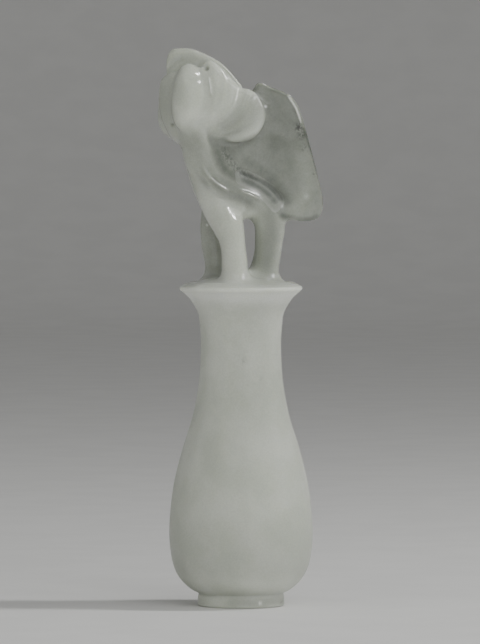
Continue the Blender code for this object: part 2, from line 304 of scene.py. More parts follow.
@dataclass(frozen=True)
class JadeFinish:
    """Pale nephrite: clouded, finely speckled, satin on the vase and glossy on the carving."""

    name: str = "pale_jade"
    pale: Point3 = (0.47, 0.495, 0.43)
    milky: Point3 = (0.54, 0.56, 0.50)
    # the smoky stone's colour, which also paints shade
    smoky: Point3 = (0.105, 0.115, 0.10)
    fleck: Point3 = (0.03, 0.032, 0.028)
    # the milky colour that paints highlights, glints and glow
    painted_light_colour: Point3 = (0.86, 0.87, 0.84)
    fleck_strength: float = 0.8
    satin: float = 0.46
    gloss: float = 0.14
    matt: float = 0.8  # where the stone is worn dull
    wear: float = 0.05  # how much the roughness strays
    glow: float = 0.9  # the share of the light that goes in and comes out elsewhere
    glow_depth: float = 1.6
    glow_colours: Point3 = (1.0, 1.0, 0.85)
    glow_forward: float = 0.3
    refraction: float = 1.61
    cloud_size: float = 9.0
    wear_size: float = 3.5
    drift_size: float = 1.6
    drift: float = 0.35  # how unevenly the smoke and the painted shade lie
    speck_size: float = 0.55
    grain_size: float = 0.28
    grain_tint: float = 0.05
    grain_height: float = 0.012
    polished_grain: float = 0.12  # the share of that height which polishing leaves

    def material(self) -> bpy.types.Material:
        """Builds the material.

        Returns:
            A node material that reads object coordinates and the stone's own attributes.
        """
        made = bpy.data.materials.new(self.name)
        made.use_nodes = True
        tree = Tree(made.node_tree)
        shader = made.node_tree.nodes["Principled BSDF"]
        place = tree.node("ShaderNodeTexCoord").outputs["Object"]
        polish = tree.trait(Trait.POLISH)
        grain = self.noise(tree, place, self.grain_size, 2.0, 0.55)
        rough_skin = tree.ease(polish, 0.0, 1.0, 1.0, self.polished_grain)
        bump = tree.node("ShaderNodeBump", {
            "Strength": 1.0, "Distance": self.grain_height * MM,
            "Height": tree.math("MULTIPLY", grain, rough_skin),
        })
        sources = {
            "Base Color": self.colour(tree, place, grain),
            "Roughness": self.roughness(tree, place, polish),
            "Normal": bump.outputs["Normal"],
        }
        for name, source in sources.items():
            made.node_tree.links.new(source, shader.inputs[name])
        shader.inputs["IOR"].default_value = self.refraction
        shader.inputs["Subsurface Weight"].default_value = self.glow
        shader.inputs["Subsurface Radius"].default_value = self.glow_colours
        shader.inputs["Subsurface Scale"].default_value = self.glow_depth * MM
        shader.inputs["Subsurface Anisotropy"].default_value = self.glow_forward
        return made

    def noise(self, tree: Tree, place: Socket, size: float, layers: float, strength: float) -> Socket:
        """Adds a noise, mostly from 0.3 to 0.7, of marks this large and finer layers in them."""
        inputs = {"Vector": place, "Scale": 1.0 / (size * MM), "Detail": layers, "Roughness": strength}
        return tree.node("ShaderNodeTexNoise", inputs).outputs["Fac"]

    def colour(self, tree: Tree, place: Socket, grain: Socket) -> Socket:
        """Works out the stone's colour, with the shade and highlights that its attributes paint.

        Args:
            tree: The tree to add to.
            place: Object coordinates.
            grain: The fine grain's value.

        Returns:
            The colour.
        """
        smoke_and_shade, specks_and_glints = tree.trait(Trait.SMOKE), tree.trait(Trait.SPECKS_AND_GLINTS)
        clouds = tree.ease(self.noise(tree, place, self.cloud_size, 4.0, 0.55), 0.38, 0.66)
        mottle = self.noise(tree, place, self.drift_size, 4.0, 0.62)
        speck = self.noise(tree, place, self.speck_size, 3.0, 0.6)
        stone = tree.mix(clouds, (*self.pale, 1.0), (*self.milky, 1.0))
        drift = tree.math("MULTIPLY", tree.math("SUBTRACT", mottle, 0.5), self.drift)
        values = {0: smoke_and_shade, 1: tree.math("MULTIPLY", drift, smoke_and_shade)}
        smoked_and_shaded = tree.node("ShaderNodeMath", values, operation="ADD", use_clamp=True).outputs[0]
        stone = tree.mix(smoked_and_shaded, stone, (*self.smoky, 1.0))
        dark = tree.math("MAXIMUM", specks_and_glints, 0.0)
        dark = tree.math("MULTIPLY", tree.ease(speck, 0.40, 0.56), dark)
        dark = tree.math("MULTIPLY", dark, self.fleck_strength)
        stone = tree.mix(dark, stone, (*self.fleck, 1.0))
        # painted highlights and glow, where the attribute is under zero
        light = tree.math("MAXIMUM", tree.math("MULTIPLY", specks_and_glints, -1.0), 0.0)
        stone = tree.mix(light, stone, (*self.painted_light_colour, 1.0))
        tint = tree.ease(grain, 0.3, 0.7, 1.0 - self.grain_tint, 1.0 + self.grain_tint)
        tint = tree.node("ShaderNodeCombineColor", {0: tint, 1: tint, 2: tint}).outputs[0]
        return tree.mix(1.0, stone, tint, "MULTIPLY")

    def roughness(self, tree: Tree, place: Socket, polish: Socket) -> Socket:
        """Works out how rough the skin is.

        Args:
            tree: The tree to add to.
            place: Object coordinates.
            polish: The polish attribute, which runs from -1 where the stone is worn dull to 1.

        Returns:
            The roughness.
        """
        base = tree.ease(polish, 0.0, 1.0, self.satin, self.gloss)
        base = tree.math("ADD", base, tree.ease(polish, -1.0, 0.0, self.matt - self.satin, 0.0))
        wear = self.noise(tree, place, self.wear_size, 3.0, 0.6)
        return tree.math("ADD", base, tree.ease(wear, 0.3, 0.7, -self.wear, self.wear))


@dataclass(frozen=True)
class PlainFinish:
    """An even, matt backdrop paint with a faint tooth."""

    name: str
    colour: Point3
    roughness: float = 0.85
    tooth_scale: float = 60.0
    tooth_depth: float = 0.97  # how bright the darker side of the tooth is

    def material(self) -> bpy.types.Material:
        """Builds the material.

        Returns:
            A node material.
        """
        made = bpy.data.materials.new(self.name)
        made.use_nodes = True
        tree = Tree(made.node_tree)
        shader = made.node_tree.nodes["Principled BSDF"]
        place = tree.node("ShaderNodeTexCoord").outputs["Object"]
        inputs = {"Vector": place, "Scale": self.tooth_scale, "Detail": 2.0}
        tooth = tree.ease(tree.node("ShaderNodeTexNoise", inputs).outputs["Fac"], 0.35, 0.65)
        darker = (*(self.tooth_depth * part for part in self.colour), 1.0)
        colour = tree.mix(tooth, (*self.colour, 1.0), darker)
        made.node_tree.links.new(colour, shader.inputs["Base Color"])
        shader.inputs["Roughness"].default_value = self.roughness
        return made


# --- the turned vase ---------------------------------------------------------------------------


@dataclass
class TurnedVase:
    """The vase itself, a profile turned by a Geometry Nodes tree."""

    belly_radius: float
    segments: int = 256
    foot_radius: float = 7.8
    foot_waist_radius: float = 7.62
    foot_height: float = 2.3
    foot_side: tuple[Point2, ...] = ((-0.05, 1.5), (0.0, 0.9))  # as (beyond its radius, height)
    foot_edge: float = 0.4
    sole_inset: float = 0.6
    recess_radius: float = 5.6
    recess_edge: float = 0.3
    recess_step: float = 0.1  # how much it deepens with each row
    recess_depth: float = 0.6
    lip_radius: float = 11.0
    lip_height: float = 56.95
    lip_edge: float = 0.42
    crest_radius: float = 9.1
    crest_height: float = 58.15
    crest_edge: float = 0.5
    mouth_radius: float = 8.2
    mouth_height: float = 57.66
    unevenness: float = 0.10
    unevenness_size: float = 14.0
    facets: int = 12
    facet_depth: float = 0.035
    facet_turn: float = -20.0  # where one facet's ridge lies, in degrees from the front

    def flank(self) -> list[Point2]:
        """Gives the knots of the flank, from under the lip to the foot, as (radius, height)."""
        return [
            (10.1, 56.0), (9.05, 54.9), (7.8, 52.8), (7.4, 50.6), (7.18, 46.9), (7.45, 41.0),
            (8.55, 34.5), (10.5, 28.1), (12.1, 21.6), (self.belly_radius, 14.0), (12.5, 8.8),
            (11.4, 5.6), (9.5, 3.4), (self.foot_waist_radius, self.foot_height),
        ]

    def profile(self) -> list[Point2]:
        """Gives the turned outline from the closed mouth down to the hollow under the foot.

        Returns:
            (radius, height) pairs.
        """
        mouth = [(self.mouth_radius * i / 6, self.mouth_height) for i in range(7)]
        crest_centre = (self.crest_radius, self.crest_height - self.crest_edge)
        crest = arc(crest_centre, self.crest_edge, start=150, end=60, steps=5)
        lip_centre = (self.lip_radius - self.lip_edge, self.lip_height)
        lip = arc(lip_centre, self.lip_edge, start=70, end=-50, steps=8)
        slope = [Vector(crest[-1]).lerp(Vector(lip[0]), i / 5) for i in range(1, 5)]
        flank = curve_through([Vector(knot) for knot in self.flank()], spans=6)
        foot = [(self.foot_radius + beyond, height) for beyond, height in self.foot_side]
        edge_centre = (self.foot_radius - self.foot_edge, self.foot_edge)
        foot += arc(edge_centre, self.foot_edge, start=0, end=-90, steps=5)
        outer_sole = (self.foot_radius - self.foot_edge - self.sole_inset, 0.0)
        inner_sole = (self.recess_radius + self.recess_edge, 0.0)
        edge_centre = (self.recess_radius, self.recess_edge)
        recess = arc(edge_centre, self.recess_edge, start=-90, end=-180, steps=3)
        start = self.recess_radius - self.recess_edge
        recess += [
            (start - self.recess_depth * i / 3, self.recess_edge + self.recess_step * i)
            for i in range(1, 4)
        ]
        recess += [(recess[-1][0] * (1 - i / 5), self.recess_depth) for i in range(1, 6)]
        rows = mouth + crest + slope + lip + flank + foot + [outer_sole, inner_sole] + recess
        return [(float(row[0]), float(row[1])) for row in rows]

    def tree(self) -> tuple[bpy.types.NodeTree, dict[str, str]]:
        """Builds the tree that turns a profile.

        Returns:
            The tree, and each input's identifier by its name.
        """
        group = bpy.data.node_groups.new("turn_profile", "GeometryNodeTree")
        sockets = {
            "Profile": "NodeSocketGeometry", "Segments": "NodeSocketInt",
            "Unevenness": "NodeSocketFloat", "Unevenness Size": "NodeSocketFloat",
            "Facets": "NodeSocketInt", "Facet Depth": "NodeSocketFloat",
            "Facet Turn": "NodeSocketFloat", "Belly Radius": "NodeSocketFloat",
            "Merge Distance": "NodeSocketFloat", "Finish": "NodeSocketMaterial",
        }
        identifiers = {}
        for name, kind in sockets.items():
            made = group.interface.new_socket(name, in_out="INPUT", socket_type=kind)
            identifiers[name] = made.identifier
        group.interface.new_socket("Skin", in_out="OUTPUT", socket_type="NodeSocketGeometry")
        tree = Tree(group)
        given = tree.node("NodeGroupInput").outputs
        rows = tree.node("GeometryNodeAttributeDomainSize", {0: given["Profile"]}, component="MESH")
        rows = rows.outputs["Point Count"]
        columns = tree.math("ADD", given["Segments"], 1.0)
        grid = tree.node("GeometryNodeMeshGrid", {"Vertices X": columns, "Vertices Y": rows})
        index = tree.node("GeometryNodeInputIndex").outputs[0]
        row = tree.math("MODULO", index, rows)
        column = tree.math("FLOOR", tree.math("DIVIDE", tree.math("ADD", index, 0.5), rows))
        position = tree.node("GeometryNodeInputPosition").outputs[0]
        sample = tree.node("GeometryNodeSampleIndex", data_type="FLOAT_VECTOR", domain="POINT")
        self.link_all(tree, sample, {"Geometry": given["Profile"], "Value": position, "Index": row})
        angle = tree.math("MULTIPLY", tree.math("DIVIDE", column, given["Segments"]), math.tau)
        turned = tree.node("ShaderNodeVectorRotate", rotation_type="Z_AXIS")
        self.link_all(tree, turned, {"Vector": sample.outputs[0], "Angle": angle})
        swell = self.swell(tree, given, turned.outputs[0], angle)
        stretch = tree.node("ShaderNodeCombineXYZ", {0: swell, 1: swell, 2: 1.0}).outputs[0]
        values = {0: turned.outputs[0], 1: stretch}
        skin = tree.node("ShaderNodeVectorMath", values, operation="MULTIPLY").outputs[0]
        steps = (
            ("GeometryNodeSetPosition", {"Position": skin}),
            ("GeometryNodeMergeByDistance", {"Distance": given["Merge Distance"]}),
            ("GeometryNodeFlipFaces", {}),
            ("GeometryNodeSetShadeSmooth", {}),
            ("GeometryNodeRealizeInstances", {}),
            ("GeometryNodeSetMaterial", {"Material": given["Finish"]}),
        )
        surface = grid.outputs["Mesh"]
        for kind, inputs in steps:
            surface = tree.node(kind, {0: surface, **inputs}).outputs[0]
        tree.node("NodeGroupOutput", {"Skin": surface})
        return group, identifiers

    def link_all(self, tree: Tree, node: bpy.types.Node, sources: dict[str, Socket]) -> None:
        """Links several inputs of a node that has hidden twins of the same name.

        Args:
            tree: The tree that holds the node.
            node: The node.
            sources: The socket for each input by name.
        """
        for socket in node.inputs:
            if socket.enabled and socket.name in sources:
                tree.tree.links.new(sources[socket.name], socket)

    def swell(
        self, tree: Tree, given: bpy.types.NodeOutputs, place: Socket, angle: Socket
    ) -> Socket:
        """Works out how far the hand-worked skin stands from a true turning.

        Args:
            tree: The tree to add to.
            given: The group's inputs.
            place: The turned point.
            angle: Its angle about the axis.

        Returns:
            The factor on its distance from the axis.
        """
        size = tree.math("DIVIDE", 1.0, given["Unevenness Size"])
        noise = tree.node("ShaderNodeTexNoise", {"Vector": place, "Scale": size, "Detail": 1.0})
        drift = tree.math("SUBTRACT", noise.outputs["Fac"], 0.5)
        drift = tree.math("MULTIPLY", drift, given["Unevenness"])
        turn = tree.math("ADD", angle, given["Facet Turn"])
        facet = tree.math("COSINE", tree.math("MULTIPLY", turn, given["Facets"]))
        facet = tree.math("MULTIPLY", facet, given["Facet Depth"])
        share = tree.math("DIVIDE", tree.math("ADD", drift, facet), given["Belly Radius"])
        return tree.math("ADD", share, 1.0)

    def mesh(self, finish: bpy.types.Material) -> bpy.types.Mesh:
        """Turns the vase.

        Args:
            finish: The stone's material.

        Returns:
            The vase as a plain closed mesh.
        """
        profile = bmesh.new()
        points = [profile.verts.new((r * MM, 0.0, z * MM)) for r, z in self.profile()]
        for upper, lower in zip(points, points[1:]):
            profile.edges.new((upper, lower))
        line = bpy.data.meshes.new("profile")
        profile.to_mesh(line)
        profile.free()
        obj = new_object("turned_vase", line)
        modifier = obj.modifiers.new("turn", "NODES")
        group, identifiers = self.tree()
        modifier.node_group = group
        values = {
            "Segments": self.segments, "Unevenness": self.unevenness * MM,
            "Unevenness Size": self.unevenness_size * MM, "Facets": self.facets,
            "Facet Depth": self.facet_depth * MM,
            "Facet Turn": math.radians(90.0 - self.facet_turn),
            "Belly Radius": self.belly_radius * MM, "Merge Distance": MERGE, "Finish": finish,
        }
        for name, value in values.items():
            modifier[identifiers[name]] = value
        return baked_mesh(obj, "turned_vase")


# --- carved forms ------------------------------------------------------------------------------


def add_pebble(shape: bmesh.types.BMesh, place: Place, around: int = 48, across: int = 32) -> None:
    """Adds a sphere whose every point is moved.

    Args:
        shape: The shape to add to.
        place: Gives a point's place in millimetres from its place on a unit sphere.
        around: How many sides the sphere has.
        across: How many rings it has.
    """
    made = bmesh.ops.create_uvsphere(shape, u_segments=around, v_segments=across, radius=1.0)
    for vertex in made["verts"]:
        vertex.co = place(*vertex.co) * MM


def fuller(height: float, fullness: float) -> float:
    """Raises a height on a unit sphere, so that the sphere becomes a plate with a round rim."""
    return math.copysign(abs(height) ** fullness, height)


@dataclass(frozen=True)
class Ellipsoid:
    """An upright ellipsoid of stone."""

    centre: Point3
    half_sizes: Point3

    def add_to(self, shape: bmesh.types.BMesh) -> None:
        """Adds the ellipsoid to a shape."""
        centre, half_sizes = Vector(self.centre), Vector(self.half_sizes)
        add_pebble(shape, lambda *point: centre + half_sizes * Vector(point))


@dataclass(frozen=True)
class Plate:
    """A petal: a thick plate inside a rim that is drawn from the front."""

    rim: tuple[Point2, ...]
    middle: Point2
    depth: float  # where its middle lies in y
    dome: float  # how much further back its rim lies than its middle
    lean: Point2  # how fast it falls back to the right and upwards
    thickness: float
    fullness: float = 0.8
    bend: float = 0.0  # how much it falls back with the square of the distance to the right

    def add_to(self, shape: bmesh.types.BMesh) -> None:
        """Adds the plate.

        Args:
            shape: The shape to add to.
        """
        middle = Vector(self.middle)
        knots = [Vector(point) - middle for point in self.rim]
        rim = curve_through(knots, spans=8, closed=True)
        angles = [math.atan2(point.y, point.x) for point in rim]
        lengths = [point.length for point in rim]

        def place(x: float, y: float, z: float) -> Vector:
            """Gives a sphere point's place on the plate."""
            out = math.hypot(x, y)
            angle = math.atan2(y, x)
            reach = out * float(np.interp(angle, angles, lengths, period=math.tau))
            across, up = reach * math.cos(angle), reach * math.sin(angle)
            depth = self.depth + self.dome * out * out + self.lean[0] * across + self.lean[1] * up
            depth += self.bend * max(0.0, across) ** 2
            depth += fuller(z, self.fullness) * self.thickness / 2.0
            return Vector((middle.x + across, depth, middle.y + up))

        add_pebble(shape, place, around=128, across=64)


@dataclass(frozen=True)
class Stem:
    """A stem: the points it passes through, from the bloom down, and its radius at each."""

    path: tuple[Point3, ...]
    radii: tuple[float, ...]

    def add_to(self, shape: bmesh.types.BMesh, root_height: float, root_fillet: float) -> None:
        """Adds the stem as a curve with a round bevel.

        Args:
            shape: The shape to add to.
            root_height: The height of the ground that it stands in.
            root_fillet: The radius with which it spreads into that ground.
        """
        data = bpy.data.curves.new("stem", "CURVE")
        data.dimensions = "3D"
        data.bevel_depth = MM
        data.bevel_resolution = 12
        data.use_fill_caps = True
        knots = [Vector((*point, radius)) for point, radius in zip(self.path, self.radii)]
        points = curve_through(knots, spans=10)
        spline = data.splines.new("POLY")
        spline.points.add(len(points) - 1)
        for spot, (x, y, z, radius) in zip(spline.points, points):
            left = root_fillet - min(max(z - root_height, 0.0), root_fillet)
            spot.co = (x * MM, y * MM, z * MM, 1.0)
            spot.radius = radius + root_fillet - math.sqrt(root_fillet**2 - left**2)
        tube = baked_mesh(new_object("stem_guide", data), "stem")
        before = set(shape.verts)
        shape.from_mesh(tube)
        added = [vertex for vertex in shape.verts if vertex not in before]
        bmesh.ops.remove_doubles(shape, verts=added, dist=MERGE)
        bpy.data.meshes.remove(tube)


@dataclass(frozen=True)
class Edge:
    """A line that runs along a carved form, drawn from the front."""

    path: tuple[Point2, ...]
    depths: tuple[float, ...]  # its y at even steps along it

    def stations(self, count: int) -> list[Vector]:
        """Divides the line into equal steps.

        Args:
            count: How many points to give.

        Returns:
            Points in space.
        """
        line = np.array(curve_through([Vector(point) for point in self.path], spans=8))
        run = np.concatenate(([0.0], np.cumsum(np.hypot(*np.diff(line, axis=0).T))))
        at = np.linspace(0.0, run[-1], count)
        x, z = np.interp(at, run, line[:, 0]), np.interp(at, run, line[:, 1])
        knots = [Vector((depth, 0.0)) for depth in self.depths]
        depths = [point.x for point in curve_through(knots, spans=8)]
        y = np.interp(np.linspace(0.0, 1.0, count), np.linspace(0.0, 1.0, len(depths)), depths)
        return [Vector(point) for point in zip(x, y, z)]


@dataclass(frozen=True)
class Loft:
    """A form skinned over the edges that run along it, given in order round its section."""

    edges: tuple[Edge, ...]
    stations: int = 60
    round_steps: int = 6

    def add_to(self, shape: bmesh.types.BMesh) -> None:
        """Adds the form.

        Args:
            shape: The shape to add to.
        """
        rings = []
        for section in zip(*(edge.stations(self.stations) for edge in self.edges)):
            points = curve_through(list(section), self.round_steps, closed=True)
            rings.append([shape.verts.new(point * MM) for point in points])
        sides = len(rings[0])
        for ring, following in zip(rings, rings[1:]):
            for i in range(sides):
                j = (i + 1) % sides
                shape.faces.new((ring[i], ring[j], following[j], following[i]))
        shape.faces.new(rings[0])
        shape.faces.new(rings[-1])


@dataclass(frozen=True)
class Stroke:
    """A line worked into the stone: a ridge, a groove, a pit or a vein of colour, some of which paint
    shade and highlights.
    """

    path: tuple[Point2, ...]
    width: float  # the distance at which it has faded to a third
    height: float = 0.0  # under zero for a groove
    smoke_and_shade: float = 0.0  # at least this smoky or this dark with painted shade; paler by this much, painted light among it, where it is under zero
    fleck: float = 0.0  # dark speckle; under zero a milky mark that paints highlights, glints and glow
    dull: float = 0.0  # over one half the stone is worn matt there
    front: float = -20.0  # it reaches only what lies between these two in y
    back: float = 20.0
    reach: float = 2.5  # how many widths away it ends
    fineness: float = 4.0  # how many points of its line lie in one width
    fade: float = 0.16  # the share of its length over which each end fades

    def share(self, points: np.ndarray) -> np.ndarray:
        """Tells how much each point of the stone feels it.

        Args:
            points: The places in millimetres.

        Returns:
            A share from 0 to 1 for each point.
        """
        line = np.array(self.path)
        if len(self.path) > 1:
            longest = np.hypot(*np.diff(line, axis=0).T).max()
            spans = max(2, math.ceil(self.fineness * longest / self.width))
            line = np.array(curve_through([Vector(point) for point in self.path], spans))
        reach = self.reach * self.width
        seen, depth = points[:, [0, 2]], points[:, 1]
        inside = (seen > line.min(axis=0) - reach) & (seen < line.max(axis=0) + reach)
        within = (depth > self.front) & (depth < self.back)
        near = np.flatnonzero(np.all(inside, axis=1) & within)
        found = np.zeros(len(points))
        if not len(near):
            return found
        gaps = np.hypot(*(seen[near, None, side] - line[None, :, side] for side in (0, 1)))
        along = np.linspace(0.0, 1.0, len(line)) if len(line) > 1 else np.array([0.5])
        taper = smoothstep(0.0, self.fade, along) * smoothstep(1.0, 1.0 - self.fade, along)
        found[near] = (np.exp(-((gaps / self.width) ** 2)) * taper).max(axis=1)
        return found


def fuse(
    shape: bmesh.types.BMesh, name: str, voxel: float, fillet: float, polish: int
) -> bpy.types.Mesh:
    """Makes overlapping bodies one skin and rounds every inner corner.

    The fused skin is swelled, fused again and shrunk back, which fills the narrow corners.

    Args:
        shape: The bodies, which are freed.
        name: The new mesh's name.
        voxel: The fineness of the skin in millimetres.
        fillet: The radius of the rounding.
        polish: How many smoothing passes follow.

    Returns:
        The fused mesh.
    """
    obj = object_from(shape, name)
    for step, grow in (("swell", fillet), ("shrink", -fillet)):
        remesh = obj.modifiers.new(f"fuse_to_{step}", "REMESH")
        remesh.mode = "VOXEL"
        remesh.voxel_size = voxel * MM
        remesh.use_smooth_shade = True
        move = obj.modifiers.new(step, "DISPLACE")
        move.strength = grow * MM
        move.mid_level = 0.0
    smooth = obj.modifiers.new("polish", "SMOOTH")
    smooth.factor = 0.5
    smooth.iterations = polish
    return baked_mesh(obj, name)


@dataclass
class Stems:
    """The stems, the stone left between them and the mound that they stand in."""

    mouth_height: float
    mound_radius: float = 8.45
    mound_height: float = 1.85
    mound_sink: float = 0.2
    root_fillet: float = 2.8
    fillet: float = 0.45
    polish: int = 8
    stems: tuple[Stem, ...] = (
        Stem(  # the front one
            path=(
                (-8.3, -1.8, 82.4), (-7.5, -2.0, 78.8), (-6.4, -2.0, 76.2), (-5.4, -2.3, 73.9),
                (-4.3, -2.5, 71.6), (-3.3, -3.1, 70.0), (-2.5, -3.8, 68.6), (-2.05, -4.2, 67.4),
                (-1.6, -4.5, 65.7), (-1.35, -4.5, 63.9), (-1.15, -4.5, 61.8), (-1.0, -4.5, 57.6),
            ),
            radii=(2.2, 2.15, 2.4, 2.6, 2.75, 2.9, 2.85, 2.7, 2.35, 2.22, 2.35, 2.5),
        ),
        Stem(  # the right one, under its arch
            path=(
                (3.4, -1.3, 71.6), (4.6, -1.2, 69.8), (5.15, -0.9, 67.8), (5.0, -0.6, 65.7),
                (4.8, -0.4, 63.5), (4.45, -0.1, 61.6), (4.1, 0.1, 60.0), (4.0, 0.1, 57.6),
            ),
            radii=(2.0, 2.55, 2.75, 2.55, 2.42, 2.47, 2.65, 2.8),
        ),
        Stem(  # the back one
            path=(
                (-8.2, -0.4, 84.0), (-7.4, -0.4, 79.6), (-6.4, 0.6, 75.4), (-5.0, 2.4, 71.6),
                (-4.95, 3.4, 68.0), (-4.85, 3.9, 64.8), (-4.25, 4.0, 61.2), (-4.2, 4.0, 57.6),
            ),
            radii=(2.6, 2.6, 2.4, 2.2, 2.4, 2.3, 2.25, 2.3),
        ),
        Stem(  # the neck, the mass under the bloom that all of them leave
            path=((-8.4, -3.2, 85.6), (-7.6, -3.0, 82.2), (-6.7, -2.6, 78.8), (-5.3, -2.4, 76.0)),
            radii=(3.0, 3.1, 2.9, 2.2),
        ),
    )
    arch: Loft = Loft(
        (
            Edge(  # where it meets the leaf
                (
                    (-5.9, 84.3), (-3.8, 81.8), (-2.5, 80.0), (-1.3, 78.6), (0.4, 77.1), (2.3, 76.1),
                    (4.1, 75.2), (5.7, 74.1), (6.8, 72.7), (7.4, 71.1), (7.3, 69.0), (6.3, 66.6),
                ),
                (-4.3, -4.0, -2.8, -1.0, -1.4, -0.4),
            ),
            Edge(  # its crest
                (
                    (-8.1, 82.5), (-7.3, 80.4), (-6.6, 78.8), (-5.5, 76.8), (-4.3, 75.6),
                    (-2.5, 74.7), (-0.5, 74.3), (1.3, 73.8), (3.0, 73.0), (4.5, 72.0), (5.4, 70.5),
                    (5.5, 68.6), (5.2, 66.8),
                ),
                (-5.7, -5.3, -4.5, -3.3, -2.3),
            ),
            Edge(  # the lower ridge
                (
                    (-8.9, 81.4), (-8.1, 78.9), (-6.8, 76.6), (-5.5, 74.8), (-3.9, 73.4),
                    (-1.8, 72.7), (0.4, 72.1), (2.1, 71.6), (3.6, 70.7), (4.5, 69.5), (4.7, 67.8),
                    (4.6, 66.4),
                ),
                (-4.5, -4.7, -4.3, -3.5, -2.2),
            ),
            Edge(  # its lower side, over the opening between the stems
                (
                    (-9.3, 81.4), (-8.4, 79.1), (-7.2, 76.6), (-6.0, 74.6), (-4.7, 73.0),
                    (-3.0, 71.8), (-1.4, 70.7), (0.2, 69.9), (1.4, 69.4), (2.3, 68.4), (3.0, 67.1),
                    (3.6, 66.1),
                ),
                (-2.4, -2.4, -2.4, -1.8, -0.8),
            ),
            Edge(  # the same at the back
                (
                    (-8.6, 82.0), (-7.6, 79.4), (-6.4, 77.0), (-5.2, 75.2), (-3.8, 73.8),
                    (-2.2, 72.7), (-0.6, 71.8), (1.0, 71.1), (2.4, 70.4), (3.4, 69.2), (4.0, 67.6),
                    (4.2, 66.2),
                ),
                (1.2, 1.0),
            ),
            Edge(  # inside the leaf
                (
                    (-6.4, 83.8), (-4.4, 81.2), (-3.1, 79.4), (-1.9, 78.0), (-0.2, 76.5), (1.7, 75.5),
                    (3.5, 74.6), (5.0, 73.4), (6.1, 71.9), (6.5, 70.4), (6.2, 68.8), (5.6, 67.1),
                ),
                (-2.2, -0.8, 0.8, 0.6),
            ),
        )
    )
    webs: tuple[Ellipsoid, ...] = (
        Ellipsoid((0.0, -2.3, 72.15), (4.0, 1.5, 2.85)),
        Ellipsoid((-2.2, -3.3, 71.4), (3.2, 1.6, 2.2)),
        Ellipsoid((1.6, -1.6, 58.6), (1.8, 2.2, 1.7)),
    )

    def mesh(self, voxel: float) -> bpy.types.Mesh:
        """Carves the stems.

        Args:
            voxel: The fineness of the skin in millimetres.

        Returns:
            One fused mesh.
        """
        shape = bmesh.new()
        for stem in self.stems:
            stem.add_to(shape, self.mouth_height, self.root_fillet)
        self.arch.add_to(shape)
        for web in self.webs:
            web.add_to(shape)
        ground = self.mouth_height - self.mound_sink

        def place(x: float, y: float, z: float) -> Vector:
            """Gives a sphere point's place on the mound."""
            rise = self.mound_height * z if z > 0.0 else z
            return Vector((x * self.mound_radius, y * self.mound_radius, ground + rise))

        add_pebble(shape, place, around=96, across=48)
        return fuse(shape, "stems", voxel, self.fillet, self.polish)


